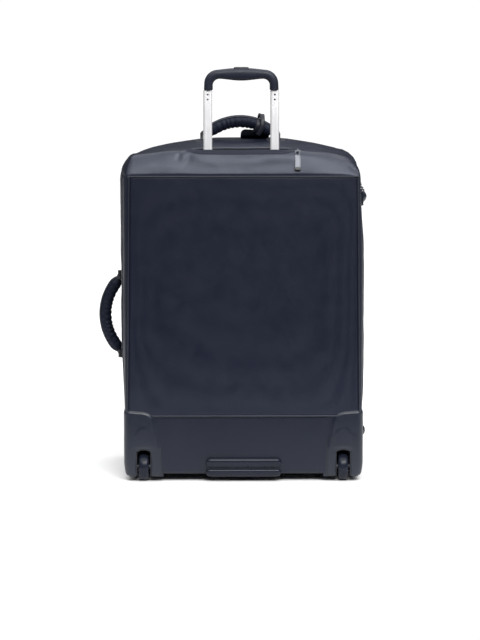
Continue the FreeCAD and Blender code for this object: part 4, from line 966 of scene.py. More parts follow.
def slot_zip(slope, over):
    """Zip tape and teeth along both edges of the handle slot, and the lips' stitches."""
    near, far = slope[-1], over[0]
    wanted = np.abs(near[:, 0] - TROLLEY_X) < 107
    facing = (slope + 0.4 * normals_of(slope))[-8:, wanted]
    facing[0] -= 0.3 * normals_of(slope)[-8, wanted]
    facing = cloth("slot_facing_cloth", facing, 0.8, "gusset", "case", inner="gusset")
    for name, edge, way in (("near", near, -1), ("far", far, 1)):
        line = edge[wanted].copy()
        upper = line + np.array([0, 0.3 * -way, -0.9])
        middle = line + np.array([0, 0.8 * -way, -3.4])
        lower = line + np.array([0, 0.6 * -way, -8.0])
        tape = cloth(f"slot_zip_tape_{name}", np.array([lower, middle, upper]), 0.7, "zip_tape", "case",
                     inner="zip_tape",
                     flip=way < 0)
        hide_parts("trolley_zip_tape")
        row = line + np.array([0, 1.1 * -way, -1.6])
        teeth = stamped(f"slot_teeth_{name}", row, (0, -0.3, 1), 2.1, brick(1.3, 2.0, 1.4), "zip_teeth",
                        "case")
        back = slope[-7] + np.array([0, -0.7, 0.2]) if way < 0 else over[4]
        line = back[wanted] + np.array([0, 0, 0.15])
        normal = (0, -0.6, 0.8) if way < 0 else (0, 0, 1)
        stitches(f"slot_stitches_{name}", line, normal, "case")


def plate_mesh(name, loop, thick, material, body, place, turn, rise=0.35):
    """A small flat plate with a raised rim, its outline in its own X-Z plane, turned about X and moved."""
    centre = loop.mean(0)
    half = np.abs(loop - centre).max(0)
    rows = []
    layers = [(-thick / 2, 0.5), (-thick / 2 + 0.25, 0.1), (thick / 2 - 0.25, 0.1), (thick / 2, 0.5),
              (thick / 2, 1.1),
              (thick / 2 - rise, 1.5), (thick / 2 - rise, 2.2)]
    for y, inset in layers:
        shrunk = centre + (loop - centre) * (1 - inset / half)
        rows.append(np.stack([shrunk[:, 0], np.full(len(loop), -y), shrunk[:, 1]], 1))
    grid = np.array(rows)
    points = turned(grid.reshape(-1, 3), turn) + place
    piece = make(name, points, capped(len(rows), len(loop)), material, sharp=40)
    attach(piece, body)
    return piece


def turned(points, degrees, axis="x"):
    a = math.radians(degrees)
    c, s = math.cos(a), math.sin(a)
    spin = {"x": [[1, 0, 0], [0, c, -s], [0, s, c]], "y": [[c, 0, s], [0, 1, 0], [-s, 0, c]],
            "z": [[c, -s, 0], [s, c, 0], [0, 0, 1]]}[axis]
    return np.asarray(points, float) @ np.array(spin).T


def slot_pull():
    """Pull of the handle slot's zip: a wire loop, a bright plate with a plain sunk face, and a dark tip."""
    pivot = joint_anchor("trolley_zip_pull_swing")
    lean = -30.0
    bow = [(-3.0, -7.0), (-3.9, -5.0), (-3.6, -2.0), (-2.4, 0.2), (0.0, 1.0), (2.4, 0.2), (3.6, -2.0),
           (3.9, -5.0), (3.0, -7.0), (2.6, -9.6), (-2.6, -9.6)]
    path = turned([(a, 0, b) for a, b in bow], lean) + pivot
    path, _ = resample(path, 1.0, closed=True)
    loop = tube("slot_pull_loop", path, 0.85, "zip_metal", sides=8, closed=True)
    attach(loop, "trolley_zip_pull")
    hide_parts("trolley_zip_pull")
    outline = rounded_loop(0.0, -21.0, 5.5, 13.0, (0.6, 2.2, 2.2, 0.6), count=6)
    plate = plate_mesh("slot_pull_plate", outline, 1.9, "zip_metal", "trolley_zip_pull", pivot, lean)
    outline = rounded_loop(0.0, -36.2, 5.5, 2.9, (2.0, 0.5, 0.5, 2.0), count=6)
    tip = plate_mesh("slot_pull_tip", outline, 2.4, "black", "trolley_zip_pull", pivot, lean, rise=0.1)


def joint_anchor(name):
    """A joint's anchor in millimetres."""
    for joint in frame["joints"]:
        if joint["name"] == name:
            place = np.array(joint["pos_m"], float)
            return (place - np.array([CENTRE_X, BACK_Y, 0.0])) / MM
    raise KeyError(name)


# ---- trolley handle -----------------------------------------------------------------------------
def extruded(name, profile, z0, z1, material, body, sharp=35):
    loops = [[(x, y, z) for x, y in profile] for z in (z0, z0 + 0.5, z1 - 0.5, z1)]
    centre = np.mean(profile, axis=0)
    points = np.array(loops, float)
    for k in (0, 3):
        points[k, :, :2] = centre + (points[k, :, :2] - centre) * 0.97
    piece = make(name, points.reshape(-1, 3), capped(4, len(profile)), material, sharp=sharp)
    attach(piece, body)
    return piece


def fluted(cx, cy, size, radius, grooves, depth=0.45):
    """Section of an aluminium tube with shallow flutes on its two wide faces."""
    hx, hy = size[0] / 2, size[1] / 2
    points = []
    face = []
    for g in sorted(grooves):
        face += [(g - 0.8, 0), (g - 0.35, depth), (g + 0.35, depth), (g + 0.8, 0)]
    points += [(x, -hy + d) for x, d in face]
    for sx, sy, start in ((1, -1, -90), (1, 1, 0)):
        for a in np.radians(np.linspace(start, start + 90, 7)):
            points.append((sx * (hx - radius) + radius * math.cos(a), sy * (hy - radius)
                           + radius * math.sin(a)))
    points += [(x, hy - d) for x, d in face[::-1]]
    for sx, sy, start in ((-1, 1, 90), (-1, -1, 180)):
        for a in np.radians(np.linspace(start, start + 90, 7)):
            points.append((sx * (hx - radius) + radius * math.cos(a), sy * (hy - radius)
                           + radius * math.sin(a)))
    return [(cx + x, cy + y) for x, y in points]


def tubes():
    lo, hi = mm_box("inner_tubes")
    size = (TUBE_SIZE_X, hi.y - lo.y)
    for side, name in ((-1, "left"), (1, "right")):
        cx = TROLLEY_X + side * TUBE_X
        profile = fluted(cx, TUBE_Y, size, 3.6, FLUTES)
        piece = extruded(f"upper_tube_{name}", profile, lo.z, hi.z, "aluminium", "trolley_upper_stage")
        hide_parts("inner_tubes")
        for z in RIVET_Z:
            head = lathe(f"handle_rivet_{name}_{int(z)}", [(0, 0.14), (1.0, 0.13), (1.55, 0.07), (1.7, 0)],
                         (cx, TUBE_Y - size[1] / 2, z), "y-", "rivet", "trolley_upper_stage")
            if z == RIVET_Z[0] and side < 0:
                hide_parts("grip_rivets")


def lathe(name, profile, place, axis, material, body, sides=28, sharp=35):
    """A turned piece: profile gives (radius, height) along the axis, closed at both ends."""
    points, faces = [], []
    rings = []
    for radius, height in profile:
        if radius < 1e-6:
            rings.append([len(points)])
            points.append((0, 0, height))
        else:
            rings.append([len(points) + k for k in range(sides)])
            points += [(radius * math.cos(2 * math.pi * k / sides),
                        radius * math.sin(2 * math.pi * k / sides), height) for k in range(sides)]
    for a, b in zip(rings, rings[1:]):
        for k in range(sides):
            n = (k + 1) % sides
            if len(a) == 1:
                faces.append((a[0], b[n], b[k]))
            elif len(b) == 1:
                faces.append((a[k], a[n], b[0]))
            else:
                faces.append((a[k], a[n], b[n], b[k]))
    for rim, last in ((rings[0], False), (rings[-1], True)):
        if len(rim) > 1:
            faces.append(tuple(rim) if last else tuple(rim[::-1]))
    points = np.array(points, float)
    if axis == "y-":
        points = turned(points, 90)
    elif axis == "x":
        points = turned(points, 90, "y")
    piece = make(name, points + np.array(place), faces, material, sharp=sharp)
    face_out(piece)
    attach(piece, body)
    return piece


def grip_lines():
    """Outer and inner lines of the grip, matched point by point, seen from behind about the trolley's middle."""
    lo, hi = mm_box("grip_rear_shell")
    half, bottom, top = (hi.x - lo.x) / 2 - 1.2, GRIP_Z + 1.6, GRIP_TOP - 1.2
    leg, outer_r, inner_r, shoulder, under = 17.0, 26.0, 12.0, top - 3.4, 757.4
    side_out = [(half - 0.6 * t, bottom + (shoulder - outer_r - bottom) * t) for t in np.linspace(0, 1, 5)]
    side_in = [(half - leg, bottom + (under - inner_r - bottom) * t) for t in np.linspace(0, 1, 5)]
    turn = np.linspace(0, math.pi / 2, 15)[1:]
    bend_out = [(half - 0.6 - outer_r + outer_r * math.cos(a), shoulder - outer_r + outer_r * math.sin(a))
                for a in turn]
    bend_in = [(half - leg - inner_r + inner_r * math.cos(a), under - inner_r + inner_r * math.sin(a))
               for a in turn]
    ts = np.linspace(0, 1, 22)[1:]
    bar_out = [((half - 0.6 - outer_r) * (1 - t), shoulder + (top - shoulder) * math.sin(t * math.pi / 2))
               for t in ts]
    bar_in = [((half - leg - inner_r) * (1 - t), under - 3.4 * math.sin(t * math.pi / 2) ** 1.6) for t in ts]
    outer, inner = side_out + bend_out + bar_out, side_in + bend_in + bar_in
    outer += [(-x, z) for x, z in outer[-2::-1]]
    inner += [(-x, z) for x, z in inner[-2::-1]]
    return np.array(outer), np.array(inner)


def grip():
    deep = (mm_box("grip_front_shell")[1].y - mm_box("grip_rear_shell")[0].y) / 2
    outer, inner = grip_lines()
    sides = 36
    rows = []
    for (ox, oz), (ix, iz) in zip(outer, inner):
        middle, reach = np.array([(ox + ix) / 2, (oz + iz) / 2]), np.array([(ox - ix) / 2, (oz - iz) / 2])
        row = []
        for k in range(sides):
            a = 2 * math.pi * k / sides
            c, s = math.cos(a), math.sin(a)
            c, s = math.copysign(abs(c) ** 0.8, c), math.copysign(abs(s) ** 0.8, s)
            seam = 0.965 if k in (0, sides // 2) else 1.0
            x, z = middle + reach * c * seam
            row.append((TROLLEY_X + x, TUBE_Y + deep * s, z))
        rows.append(row)
    grid = np.array(rows)
    first, last = grid[:1].copy(), grid[-1:].copy()
    for cap in (first, last):
        cap[..., 2] -= 0.6
        cap[..., :2] = cap[0].mean(0)[:2] + (cap[..., :2] - cap[0].mean(0)[:2]) * 0.93
    grid = np.concatenate([first, grid, last])
    piece = make("grip_body", grid.reshape(-1, 3), capped(len(grid), sides), "grip", sharp=40)
    face_out(piece)
    well = rounded_box("well_tool", (TROLLEY_X, TUBE_Y, GRIP_TOP + 2), (29.2, 12.6, 12.0), 2.0, "grip")
    cut = piece.modifiers.new("well", "BOOLEAN")
    cut.operation, cut.object, cut.solver = "DIFFERENCE", well, "EXACT"
    apply(piece)
    bpy.data.objects.remove(well)
    piece.data.set_sharp_from_angle(angle=math.radians(40))
    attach(piece, "trolley_upper_stage")
    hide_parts("grip_rear_shell", "grip_front_shell")
    button_top = mm_box("release_button")[1].z
    button = rounded_box("grip_button", (TROLLEY_X, TUBE_Y, button_top - 6.2), (28.0, 11.4, 8.4), 1.8,
                         "button", crown=0.5)
    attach(button, "release_button")
    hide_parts("release_button")
    for k in range(-3, 4):
        rib = rounded_box(f"button_rib_{k + 3}", (TROLLEY_X + k * 2.6, TUBE_Y, button_top - 2.0),
                          (1.0, 7.0, 0.7), 0.3, "button")
        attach(rib, "release_button")


def rounded_box(name, centre, size, radius, material, crown=0.0):
    """A box with rounded edges, as a bevelled mesh."""
    mesh = bmesh.new()
    bmesh.ops.create_cube(mesh, size=1.0)
    for v in mesh.verts:
        v.co = Vector(to_metres([(centre[0] + v.co.x * size[0], centre[1] + v.co.y * size[1], centre[2]
                                  + v.co.z * size[2])])[0])
    bmesh.ops.bevel(mesh, geom=mesh.edges[:] + mesh.verts[:], offset=radius * MM, segments=4, profile=0.5,
                    affect="EDGES")
    data = bpy.data.meshes.new(name)
    mesh.to_mesh(data)
    mesh.free()
    for polygon in data.polygons:
        polygon.use_smooth = True
    data.materials.append(MATS[material])
    data.set_sharp_from_angle(angle=math.radians(40))
    piece = bpy.data.objects.new(name, data)
    bpy.context.scene.collection.objects.link(piece)
    return piece


# ---- carry handles ------------------------------------------------------------------------------
def handle_frame(kind):
    """Middle, span, rise, and how a handle's own x, y, z lie in the model."""
    lo, hi = mm_box(f"{kind}_pad")
    if kind == "top_handle":
        place = np.array([(lo.x + hi.x) / 2, (lo.y + hi.y) / 2, joint_anchor("top_handle_swing")[2]])
        return place, *ARCH[kind], lambda p: np.asarray(p, float) + place
    place = np.array([joint_anchor("side_handle_swing")[0], (lo.y + hi.y) / 2, (lo.z + hi.z) / 2])
    return place, *ARCH[kind], lambda p: turned(p, -90, "y") + place


def arch_radius(span, rise):
    return (span ** 2 + rise ** 2) / (2 * rise)


def carry_handle(kind):
    """Padded grip: cloth gathered in short folds round an arched core, corded along its outer edge."""
    _, span, rise, move = handle_frame(kind)
    rise += ARCH_LIFT[kind]
    radius = arch_radius(span, rise)
    half = math.asin(span / radius) - 0.03
    count, sides = 150, 40
    fold_step = 2 * math.pi / (9.5 / (2 * half * radius / count))
    rows, edge_a, edge_b = [], [], []
    for i, a in enumerate(np.linspace(-half, half, count)):
        t = a / half
        middle = np.array([radius * math.sin(a), 0, rise - radius + radius * math.cos(a)])
        out = np.array([math.sin(a), 0, math.cos(a)])
        side = np.array([0.0, 1.0, 0.0])
        taper = 1 - END_TAPER[kind] * max(0.0, (abs(t) - 0.80) / 0.20) ** 2
        row = []
        for k in range(sides):
            b = 2 * math.pi * k / sides
            inner = max(0.0, -math.cos(b))
            flank = abs(math.sin(b))
            fold = math.sin(i * fold_step + 1.1 * math.sin(i * 0.13) + (0.8 if math.sin(b) > 0 else 0.0))
            wrinkle = 0.85 * fold * (0.5 * flank + 0.7 * inner) * (1 - abs(t) ** 3)
            r = HANDLE_R * taper + wrinkle - 0.4
            r *= 1 + 0.05 * math.cos(2 * b)
            row.append(middle + r * (math.cos(b) * out + math.sin(b) * side))
        rows.append(row)
        for sign, path in ((-1, edge_a), (1, edge_b)):
            b = math.radians(38)
            r = HANDLE_R * taper + 0.05
            path.append(middle + r * (math.cos(b) * out + sign * math.sin(b) * side))
    grid = np.array(rows)
    faces = lattice(count, sides, wrap_cols=True)
    faces += [tuple(range(sides)), tuple((count - 1) * sides + k for k in reversed(range(sides)))]
    pad = make(f"{kind}_cover", move(grid.reshape(-1, 3)), faces, "handle", sharp=60)
    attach(pad, kind)
    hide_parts(f"{kind}_pad")
    for tag, path in (("rear", edge_a), ("front", edge_b)):
        cord = tube(f"{kind}_piping_{tag}", move(path), 1.0, "piping", sides=8)
        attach(cord, kind)
    knuckle = 5.2
    for end, tag in ((-1, "left"), (1, "right")):
        a = half * end
        tip = np.array([radius * math.sin(a), 0, rise - radius + radius * math.cos(a)])
        line = [tip * (1 - t) + np.array([end * (span + 7.5), 0, 0]) * t for t in np.linspace(0, 1, 10)]
        sizes = np.concatenate([[9.2, 8.8, 7.8, 6.8], np.linspace(6.0, knuckle, 5), [knuckle - 0.8]])
        root = tube(f"{kind}_root_{tag}", move(line), sizes, "webbing", sides=20)
        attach(root, kind)


def handle_anchors(kind):
    """Patch sewn to the skin and an upright tab at each end of a handle."""
    place, span, _, move = handle_frame(kind)
    for end, tag in ((-1, "left"), (1, "right")):
        reach = span + ANCHOR_REACH
        rows = []
        cols = np.linspace(-1, 1, 25)
        for v in np.linspace(-1, 1, 25):
            row = []
            for u in cols:
                px = end * (reach - 3.0) + 19.0 * u * (1 - 0.06 * v * v)
                py = 17.0 * v * (1 - 0.06 * u * u)
                edge = min(1 - abs(u), 1 - abs(v)) * 17.0
                lift = PATCH_LIFT[kind] * math.sqrt(max(0.0, 1 - (1 - min(1.0, edge / 3.5)) ** 2))
                if kind == "top_handle":
                    x, y = place[0] + px, place[1] + py
                    z = float(crown(np.array(x), np.array(y))) - 0.6 + lift
                    row.append((x, y, z))
                else:
                    z, y = place[2] + px, place[1] + py
                    x = float(side_x(np.array(y), np.array(z), -1)) + 0.6 - lift
                    row.append((x, y, z))
            rows.append(row)
        grid = np.array(rows)
        flip = kind == "side_handle"
        patch = cloth(f"{kind}_patch_{tag}", grid, 1.2, "webbing", "case", inner="webbing", flip=flip)
        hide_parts(f"{kind}_anchors")
        loop = []
        base = ANCHOR_BASE
        dip = 4.2 if kind == "top_handle" else 0.0
        wrap = [(5.8 * math.sin(a), 5.8 * math.cos(a)) for a in np.linspace(-1.35, 1.35, 13)]
        for y, z in [(-10.5, base), (-8.5, base + 3.0), (-6.2, -1.5)] + wrap + [(6.2, -1.5),
                                                                                (8.5, base + 3.0),
                                                                                (10.5, base)]:
            loop.append((y, z))
        if kind == "side_handle":
            loop = [(y * 0.9, z * 0.9 if z > base + 1 else z) for y, z in loop]
        thick = 2.4
        for y, z in loop[::-1]:
            length = math.hypot(y, z)
            loop.append((y * (length - thick) / length, z * (length - thick) / length if z > base + 1 else z))
        width = ANCHOR_WIDTH
        xs = sorted([end * reach, end * (reach + width)])
        layers = [(xs[0], 0.93), (xs[0] + 0.6, 1.0), (xs[1] - 0.6, 1.0), (xs[1], 0.93)]
        middle = np.mean(loop, axis=0)
        grid = np.array([[(x, middle[0] + (y - middle[0]) * s, middle[1] + (z - middle[1]) * s) for y,
                          z in loop] for x, s in layers])
        points = grid.reshape(-1, 3)
        points[:,
               2] -= dip * np.abs((points[:, 0] - xs[0 if end > 0 else 1]) / width) * (points[:, 2] > base
                                                                                       + 2)
        tab = make(f"{kind}_tab_{tag}", move(points), capped(len(layers), len(loop)), "webbing", sharp=45)
        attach(tab, "case")
        pin = tube(f"{kind}_pin_{tag}",
                   move([(end * (reach - 1.5), 0, 0), (end * (reach + width + 0.2), 0, 0)]), 3.2, "steel",
                   sides=16)
        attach(pin, "case")


def luggage_tag():
    """Leather strap looped round the top handle through its keeper, with the tag hanging behind."""
    pivot = joint_anchor("tag_swing")
    lean = math.degrees(math.asin((pivot[0]
                                   - handle_frame("top_handle")[0][0]) / arch_radius(*ARCH["top_handle"])))
    inner = HANDLE_R + 1.5
    def place(points):
        return turned(points, lean, "y") + pivot
    around = np.linspace(math.radians(100), math.radians(440), 60)
    path = [(0.0, inner * math.cos(a), (inner + 0.6) * math.sin(a)) for a in around]
    loop = band("tag_loop", [tuple(p) for p in place(path)], 9.0, 1.7, "leather", "luggage_tag",
                across=turned([(1, 0, 0)], lean, "y")[0])
    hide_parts("tag_strap")
    keeper = rounded_box("tag_keeper", (0, 0, 0), (11.0, 9.5, 8.6), 1.4, "leather")
    points = np.array([v.co[:] for v in keeper.data.vertices]) / MM - np.array([CENTRE_X, BACK_Y, 0.0]) / MM
    moved = to_metres(place(points + np.array([0.0, -1.0, inner + 6.6])))
    for v, p in zip(keeper.data.vertices, moved):
        v.co = p
    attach(keeper, "luggage_tag")
    hang = [(0.5, 3.0, inner + 8.0), (1.5, -2.0, inner + 10.3), (4.0, -9.5, inner + 5.0),
            (7.0, -13.6, inner - 5.0), (8.0, -14.6, 0.0), (7.0, -14.4, -8.0), (4.5, -13.2, -15.0)]
    smooth_path = spline(hang, 40)
    tail = band("tag_tail", [tuple(p) for p in place(smooth_path)], 8.5, 1.6, "leather", "luggage_tag",
                across=(1.0, 0.1, 0.0))
    drop = [(0.0, inner + 0.5, 3.0), (0.0, inner + 2.6, -3.0), (0.0, inner + 3.4, -10.0),
            (0.0, inner + 5.5, -15.5)]
    neck = band("tag_neck", [tuple(p) for p in place(spline(drop, 20))], 9.0, 1.6, "leather", "luggage_tag",
                across=(1.0, 0.0, 0.0))
    lo, hi = mm_box("tag_body")
    middle = (lo.x + hi.x) / 2
    side = spline([(0, 145.5, 652.0), (0, 146.6, 646.5), (0, 150.0, 641.5), (0, 157.0, 639.3),
                   (0, 172.0, 637.6),
                   (0, 188.0, 635.0), (0, 203.0, 631.8)], 44)
    ways = np.gradient(side, axis=0)
    ways /= np.linalg.norm(ways, axis=1, keepdims=True)
    up = np.stack([np.zeros(44), -ways[:, 2], ways[:, 1]], 1)
    run = np.concatenate([[0], np.cumsum(np.linalg.norm(np.diff(side, axis=0), axis=1))])
    rows = []
    for p, along_run in zip(side, run):
        near_end = min(along_run, run[-1] - along_run)
        round_by = 9.0 - math.sqrt(max(0.0, 81.0 - max(0.0, 9.0 - near_end) ** 2))
        rows.append([p + np.array([middle + (27.0 - round_by) * u, 0, 0.7 * u * u])
                     for u in np.linspace(-1, 1, 31)])
    grid = np.array(rows)
    leaf = cloth("tag_leaf", grid, 2.6, "leather", "luggage_tag", inner="leather")
    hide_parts("tag_body")
    border = np.concatenate([grid[2:-2, 2], grid[-3, 3:-3], grid[2:-2, -3][::-1], grid[2, 3:-3][::-1]])
    lifts = np.concatenate([up[2:-2], np.repeat(up[-3:-2], 25, 0), up[2:-2][::-1], np.repeat(up[2:3], 25, 0)])
    border = border + lifts * 0.1
    spaced, _ = resample(border, 3.0, closed=True)
    which = [int(np.argmin(np.abs(border - q).sum(1))) for q in spaced]
    seam = stamped("tag_stitches", border, lifts[which], 3.0, capsule(2.1, 0.5, 0.5), "thread",
                   "luggage_tag", closed=True)


def spline(points, count):
    """A smooth line through the points."""
    points = np.array(points, float)
    t = np.linspace(0, len(points) - 1, count)
    out = []
    for value in t:
        i = min(int(value), len(points) - 2)
        f = value - i
        p0, p1, p2, p3 = (points[min(max(i + k, 0), len(points) - 1)] for k in (-1, 0, 1, 2))
        out.append(0.5 * ((2 * p1) + (p2 - p0) * f + (2 * p0 - 5 * p1 + 4 * p2 - p3) * f ** 2
                          + (3 * p1 - p0 - 3 * p2 + p3) * f ** 3))
    return np.array(out)


def band(name, path, width, thick, material, body, across):
    """A flat strap along a path, its width lying along across, with rounded edges."""
    path = np.asarray(path, float)
    across = np.asarray(across, float)
    ways = np.gradient(path, axis=0)
    ways /= np.linalg.norm(ways, axis=1, keepdims=True)
    section = [(-1, -0.5), (-0.9, -1), (0.9, -1), (1, -0.5), (1, 0.5), (0.9, 1), (-0.9, 1), (-1, 0.5)]
    rows = []
    for p, way in zip(path, ways):
        side = across - way * np.dot(across, way)
        side /= np.linalg.norm(side)
        up = np.cross(way, side)
        rows.append([p + side * a * width / 2 + up * b * thick / 2 for a, b in section])
    grid = np.array(rows)
    piece = make(name, grid.reshape(-1, 3), capped(len(path), len(section)), material, sharp=50)
    face_out(piece)
    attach(piece, body)
    return piece


# ---- corner guards, bumper, wheels, feet --------------------------------------------------------
GUARD_OUTLINE = [(154.6, -30), (155, 0), (156.5, 65), (166.0, 111), (168.2, 118), (171.6, 124),
                 (176.5, 128.8), (183, 132),
                 (191, 133.6), (224, 136), (254, 136), (262, 134.5), (268, 131), (272, 124), (280, 64),
                 (304, 48), (305, -30)]


def guard_edge(s, z):
    """Distance inside the guard's outline, seen flat: s runs round the corner from the inner edge."""
    ring_s, ring_z = np.array(GUARD_OUTLINE, float).T
    far = np.full(s.shape, 1e9)
    inside = np.zeros(s.shape, bool)
    for k in range(len(ring_s)):
        ax, ay = ring_s[k], ring_z[k]
        bx, by = ring_s[(k + 1) % len(ring_s)], ring_z[(k + 1) % len(ring_s)]
        dx, dy = bx - ax, by - ay
        t = np.clip(((s - ax) * dx + (z - ay) * dy) / (dx * dx + dy * dy), 0, 1)
        far = np.minimum(far, np.hypot(s - ax - t * dx, z - ay - t * dy))
        crosses = ((ay > z) != (by > z)) & (s < ax + (z - ay) * dx / (dy if abs(dy) > 1e-9 else 1e-9))
        inside ^= crosses
    return np.where(inside, far, -far)


def corner_point(s, out):
    """Point on the body's upright corner at run s, pushed out: straight back face, bend, then the side."""
    radius, start = 8.0, HALF - 8.0
    bend = radius * math.pi / 2
    if s <= start:
        return s, -out
    if s <= start + bend:
        a = (s - start) / radius
        return start + (radius + out) * math.sin(a), radius - (radius + out) * math.cos(a)
    return HALF + out, radius + (s - start - bend)


def guards():
    for sign, side in ((-1, "left"), (1, "right")):
        columns = np.concatenate([np.arange(151.0, WHEEL_X - ARCH_HALF - 2.4, 1.6), WHEEL_X - ARCH_HALF
                                  - np.array([1.6, 0.8, 0.3, 0.0]),
                                  np.linspace(WHEEL_X - ARCH_HALF, WHEEL_X + ARCH_HALF, 19)[1:-1],
                                  WHEEL_X + ARCH_HALF + np.array([0.0, 0.3, 0.8, 1.6]),
                                  np.arange(WHEEL_X + ARCH_HALF + 3.2, 312.0, 1.7)])
        heights = np.concatenate([[9.0, 10.2, 11.6, 13.2, 15.0], np.arange(17.0, ARCH_LOW - 1, 2.2),
                                  [ARCH_LOW - 0.8, ARCH_LOW - 0.2, ARCH_LOW],
                                  np.arange(ARCH_LOW + 1.0, 142.0, 1.6)])
        low_row = int(np.argmin(np.abs(heights - ARCH_LOW)))
        grid = np.zeros((len(heights), len(columns), 3))
        for r, z in enumerate(heights):
            arch = np.clip(1 - ((columns - WHEEL_X) / ARCH_HALF) ** 2, 0, 1) * (r >= low_row)
            tall = z + (ARCH_HIGH - ARCH_LOW) * arch * max(0.0, 1 - (z - ARCH_LOW) / 60.0)
            edges = guard_edge(columns, tall)
            for c, s in enumerate(columns):
                x_in = (s - WHEEL_X) / ARCH_HALF
                zz, d = float(tall[c]), float(edges[c])
                t = min(1.0, max(0.0, (d + 1.2) / 5.6))
                out = -1.4 + 5.0 * (0.8 * t + 0.2 * math.sin(t * math.pi / 2))
                bottom = min(1.0, max(0.0, (z - 10.5) / 5.5))
                out = min(out, -1.0 + 4.4 * math.sqrt(1 - (1 - bottom) ** 2))
                gap_x = abs(s - WHEEL_X) - ARCH_HALF
                if zz < ARCH_HIGH + 3:
                    edge = max(0.0, gap_x) if r < low_row else math.hypot(max(0.0, gap_x),
                                                                          max(0.0, zz - ARCH_LOW
                                                                              - (ARCH_HIGH
                                                                                 - ARCH_LOW) * max(0.0, 1
                                                                                                   - x_in * x_in)))
                    if edge < 1.6:
                        out -= 1.3 * (1 - edge / 1.6) ** 2
                panel = 0.5 * math.exp(-((abs(s - WHEEL_X) / 17.5) ** 6)) * float(smooth((zz
                                                                                          - 62) / 6)) * float(smooth((106 - 0.045 * (s - WHEEL_X) ** 2 - zz) / 5))
                x, y = corner_point(s, out + panel)
                squeeze = 0.75 * (1 - min(1.0, max(0.0, (z - 9) / 34.0))) ** 2
                grid[r, c] = (x - 5.5 * squeeze * (1 if s > 205 else 0) * float(smooth((s - 205) / 14)), y,
                              zz)
        grid[..., 0] *= sign
        def gone(p):
            run = np.abs(p[:, 0])
            inside = (np.abs(run - WHEEL_X) < ARCH_HALF) & (p[:, 1] < 6)
            return inside & (p[:, 2] < ARCH_LOW
                             + (ARCH_HIGH - ARCH_LOW) * (1 - ((run - WHEEL_X) / ARCH_HALF) ** 2) + 0.1)
        piece = cloth(f"guard_{side}", grid, 1.6, "guard", "case", inner="guard", flip=sign < 0, gone=gone)
        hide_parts(f"corner_guard_{side}")
        xs = [sign * (WHEEL_X - ARCH_HALF)] * 14 + list(sign * (WHEEL_X
                                                                + np.linspace(-ARCH_HALF, ARCH_HALF,
                                                                              15)[1:-1])) + [sign * (WHEEL_X
                                                                                                     + ARCH_HALF)] * 14
        zs = list(np.linspace(11.0, ARCH_LOW, 14)) + list(ARCH_LOW
                                                          + (ARCH_HIGH - ARCH_LOW) * (1
                                                                                      - np.linspace(-1, 1,
                                                                                                    15)[1:-1] ** 2)) + list(np.linspace(ARCH_LOW, 11.0, 14))
        depth = np.array([-2.2, -1.8, -1.0, 4.0, 12.0, 24.0, 36.0, 46.0])
        rows = [np.stack([xs, np.full(len(xs), y), zs], 1) for y in depth]
        middle = np.array([sign * WHEEL_X, 46.0, 32.0])
        rows += [middle + (rows[-1] - middle) * np.array([k, 1, k]) for k in (0.9, 0.5, 0.02)]
        tunnel = cloth(f"wheel_pocket_{side}", np.array(rows), 1.6, "pocket", "case", inner="pocket",
                       flip=sign < 0)
        under = []
        for y in np.linspace(2.0, 76.0, 20):
            xs = np.concatenate([np.linspace(157, WHEEL_X - ARCH_HALF, 6),
                                 np.linspace(WHEEL_X + ARCH_HALF, 219.5, 6)])
            under.append(np.stack([sign * xs, np.full(12, y), np.full(12, 11.8)], 1))
        plate = cloth(f"guard_{side}_sole", np.array(under), 1.6, "guard", "case", inner="guard",
                      flip=sign > 0,
                      gone=lambda p: (np.abs(np.abs(p[:, 0]) - WHEEL_X) < ARCH_HALF - 0.5) & (p[:, 1] < 47))


def wheels():
    for side in ("left", "right"):
        lo, hi = mm_box(f"wheel_tyre_{side}")
        place = ((lo.x + hi.x) / 2, (lo.y + hi.y) / 2, (lo.z + hi.z) / 2)
        half, big = (hi.x - lo.x) / 2, (hi.z - lo.z) / 2
        profile = [(17.2, -half + 0.8), (18.5, -half + 0.2), (21.0, -half)]
        for a in np.linspace(-1, 1, 25):
            profile.append((big - 5.0 + 5.0 * (1 - abs(a) ** 2.6) ** (1 / 2.0),
                            half * math.copysign(abs(a) ** 0.9, a) * 0.995))
        profile += [(21.0, half), (18.5, half - 0.2), (17.2, half - 0.8), (17.2, -half + 0.8)]
        tyre = lathe(f"tyre_{side}", profile[:-1], place, "x", "tyre", f"wheel_{side}", sides=72)
        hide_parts(f"wheel_tyre_{side}")


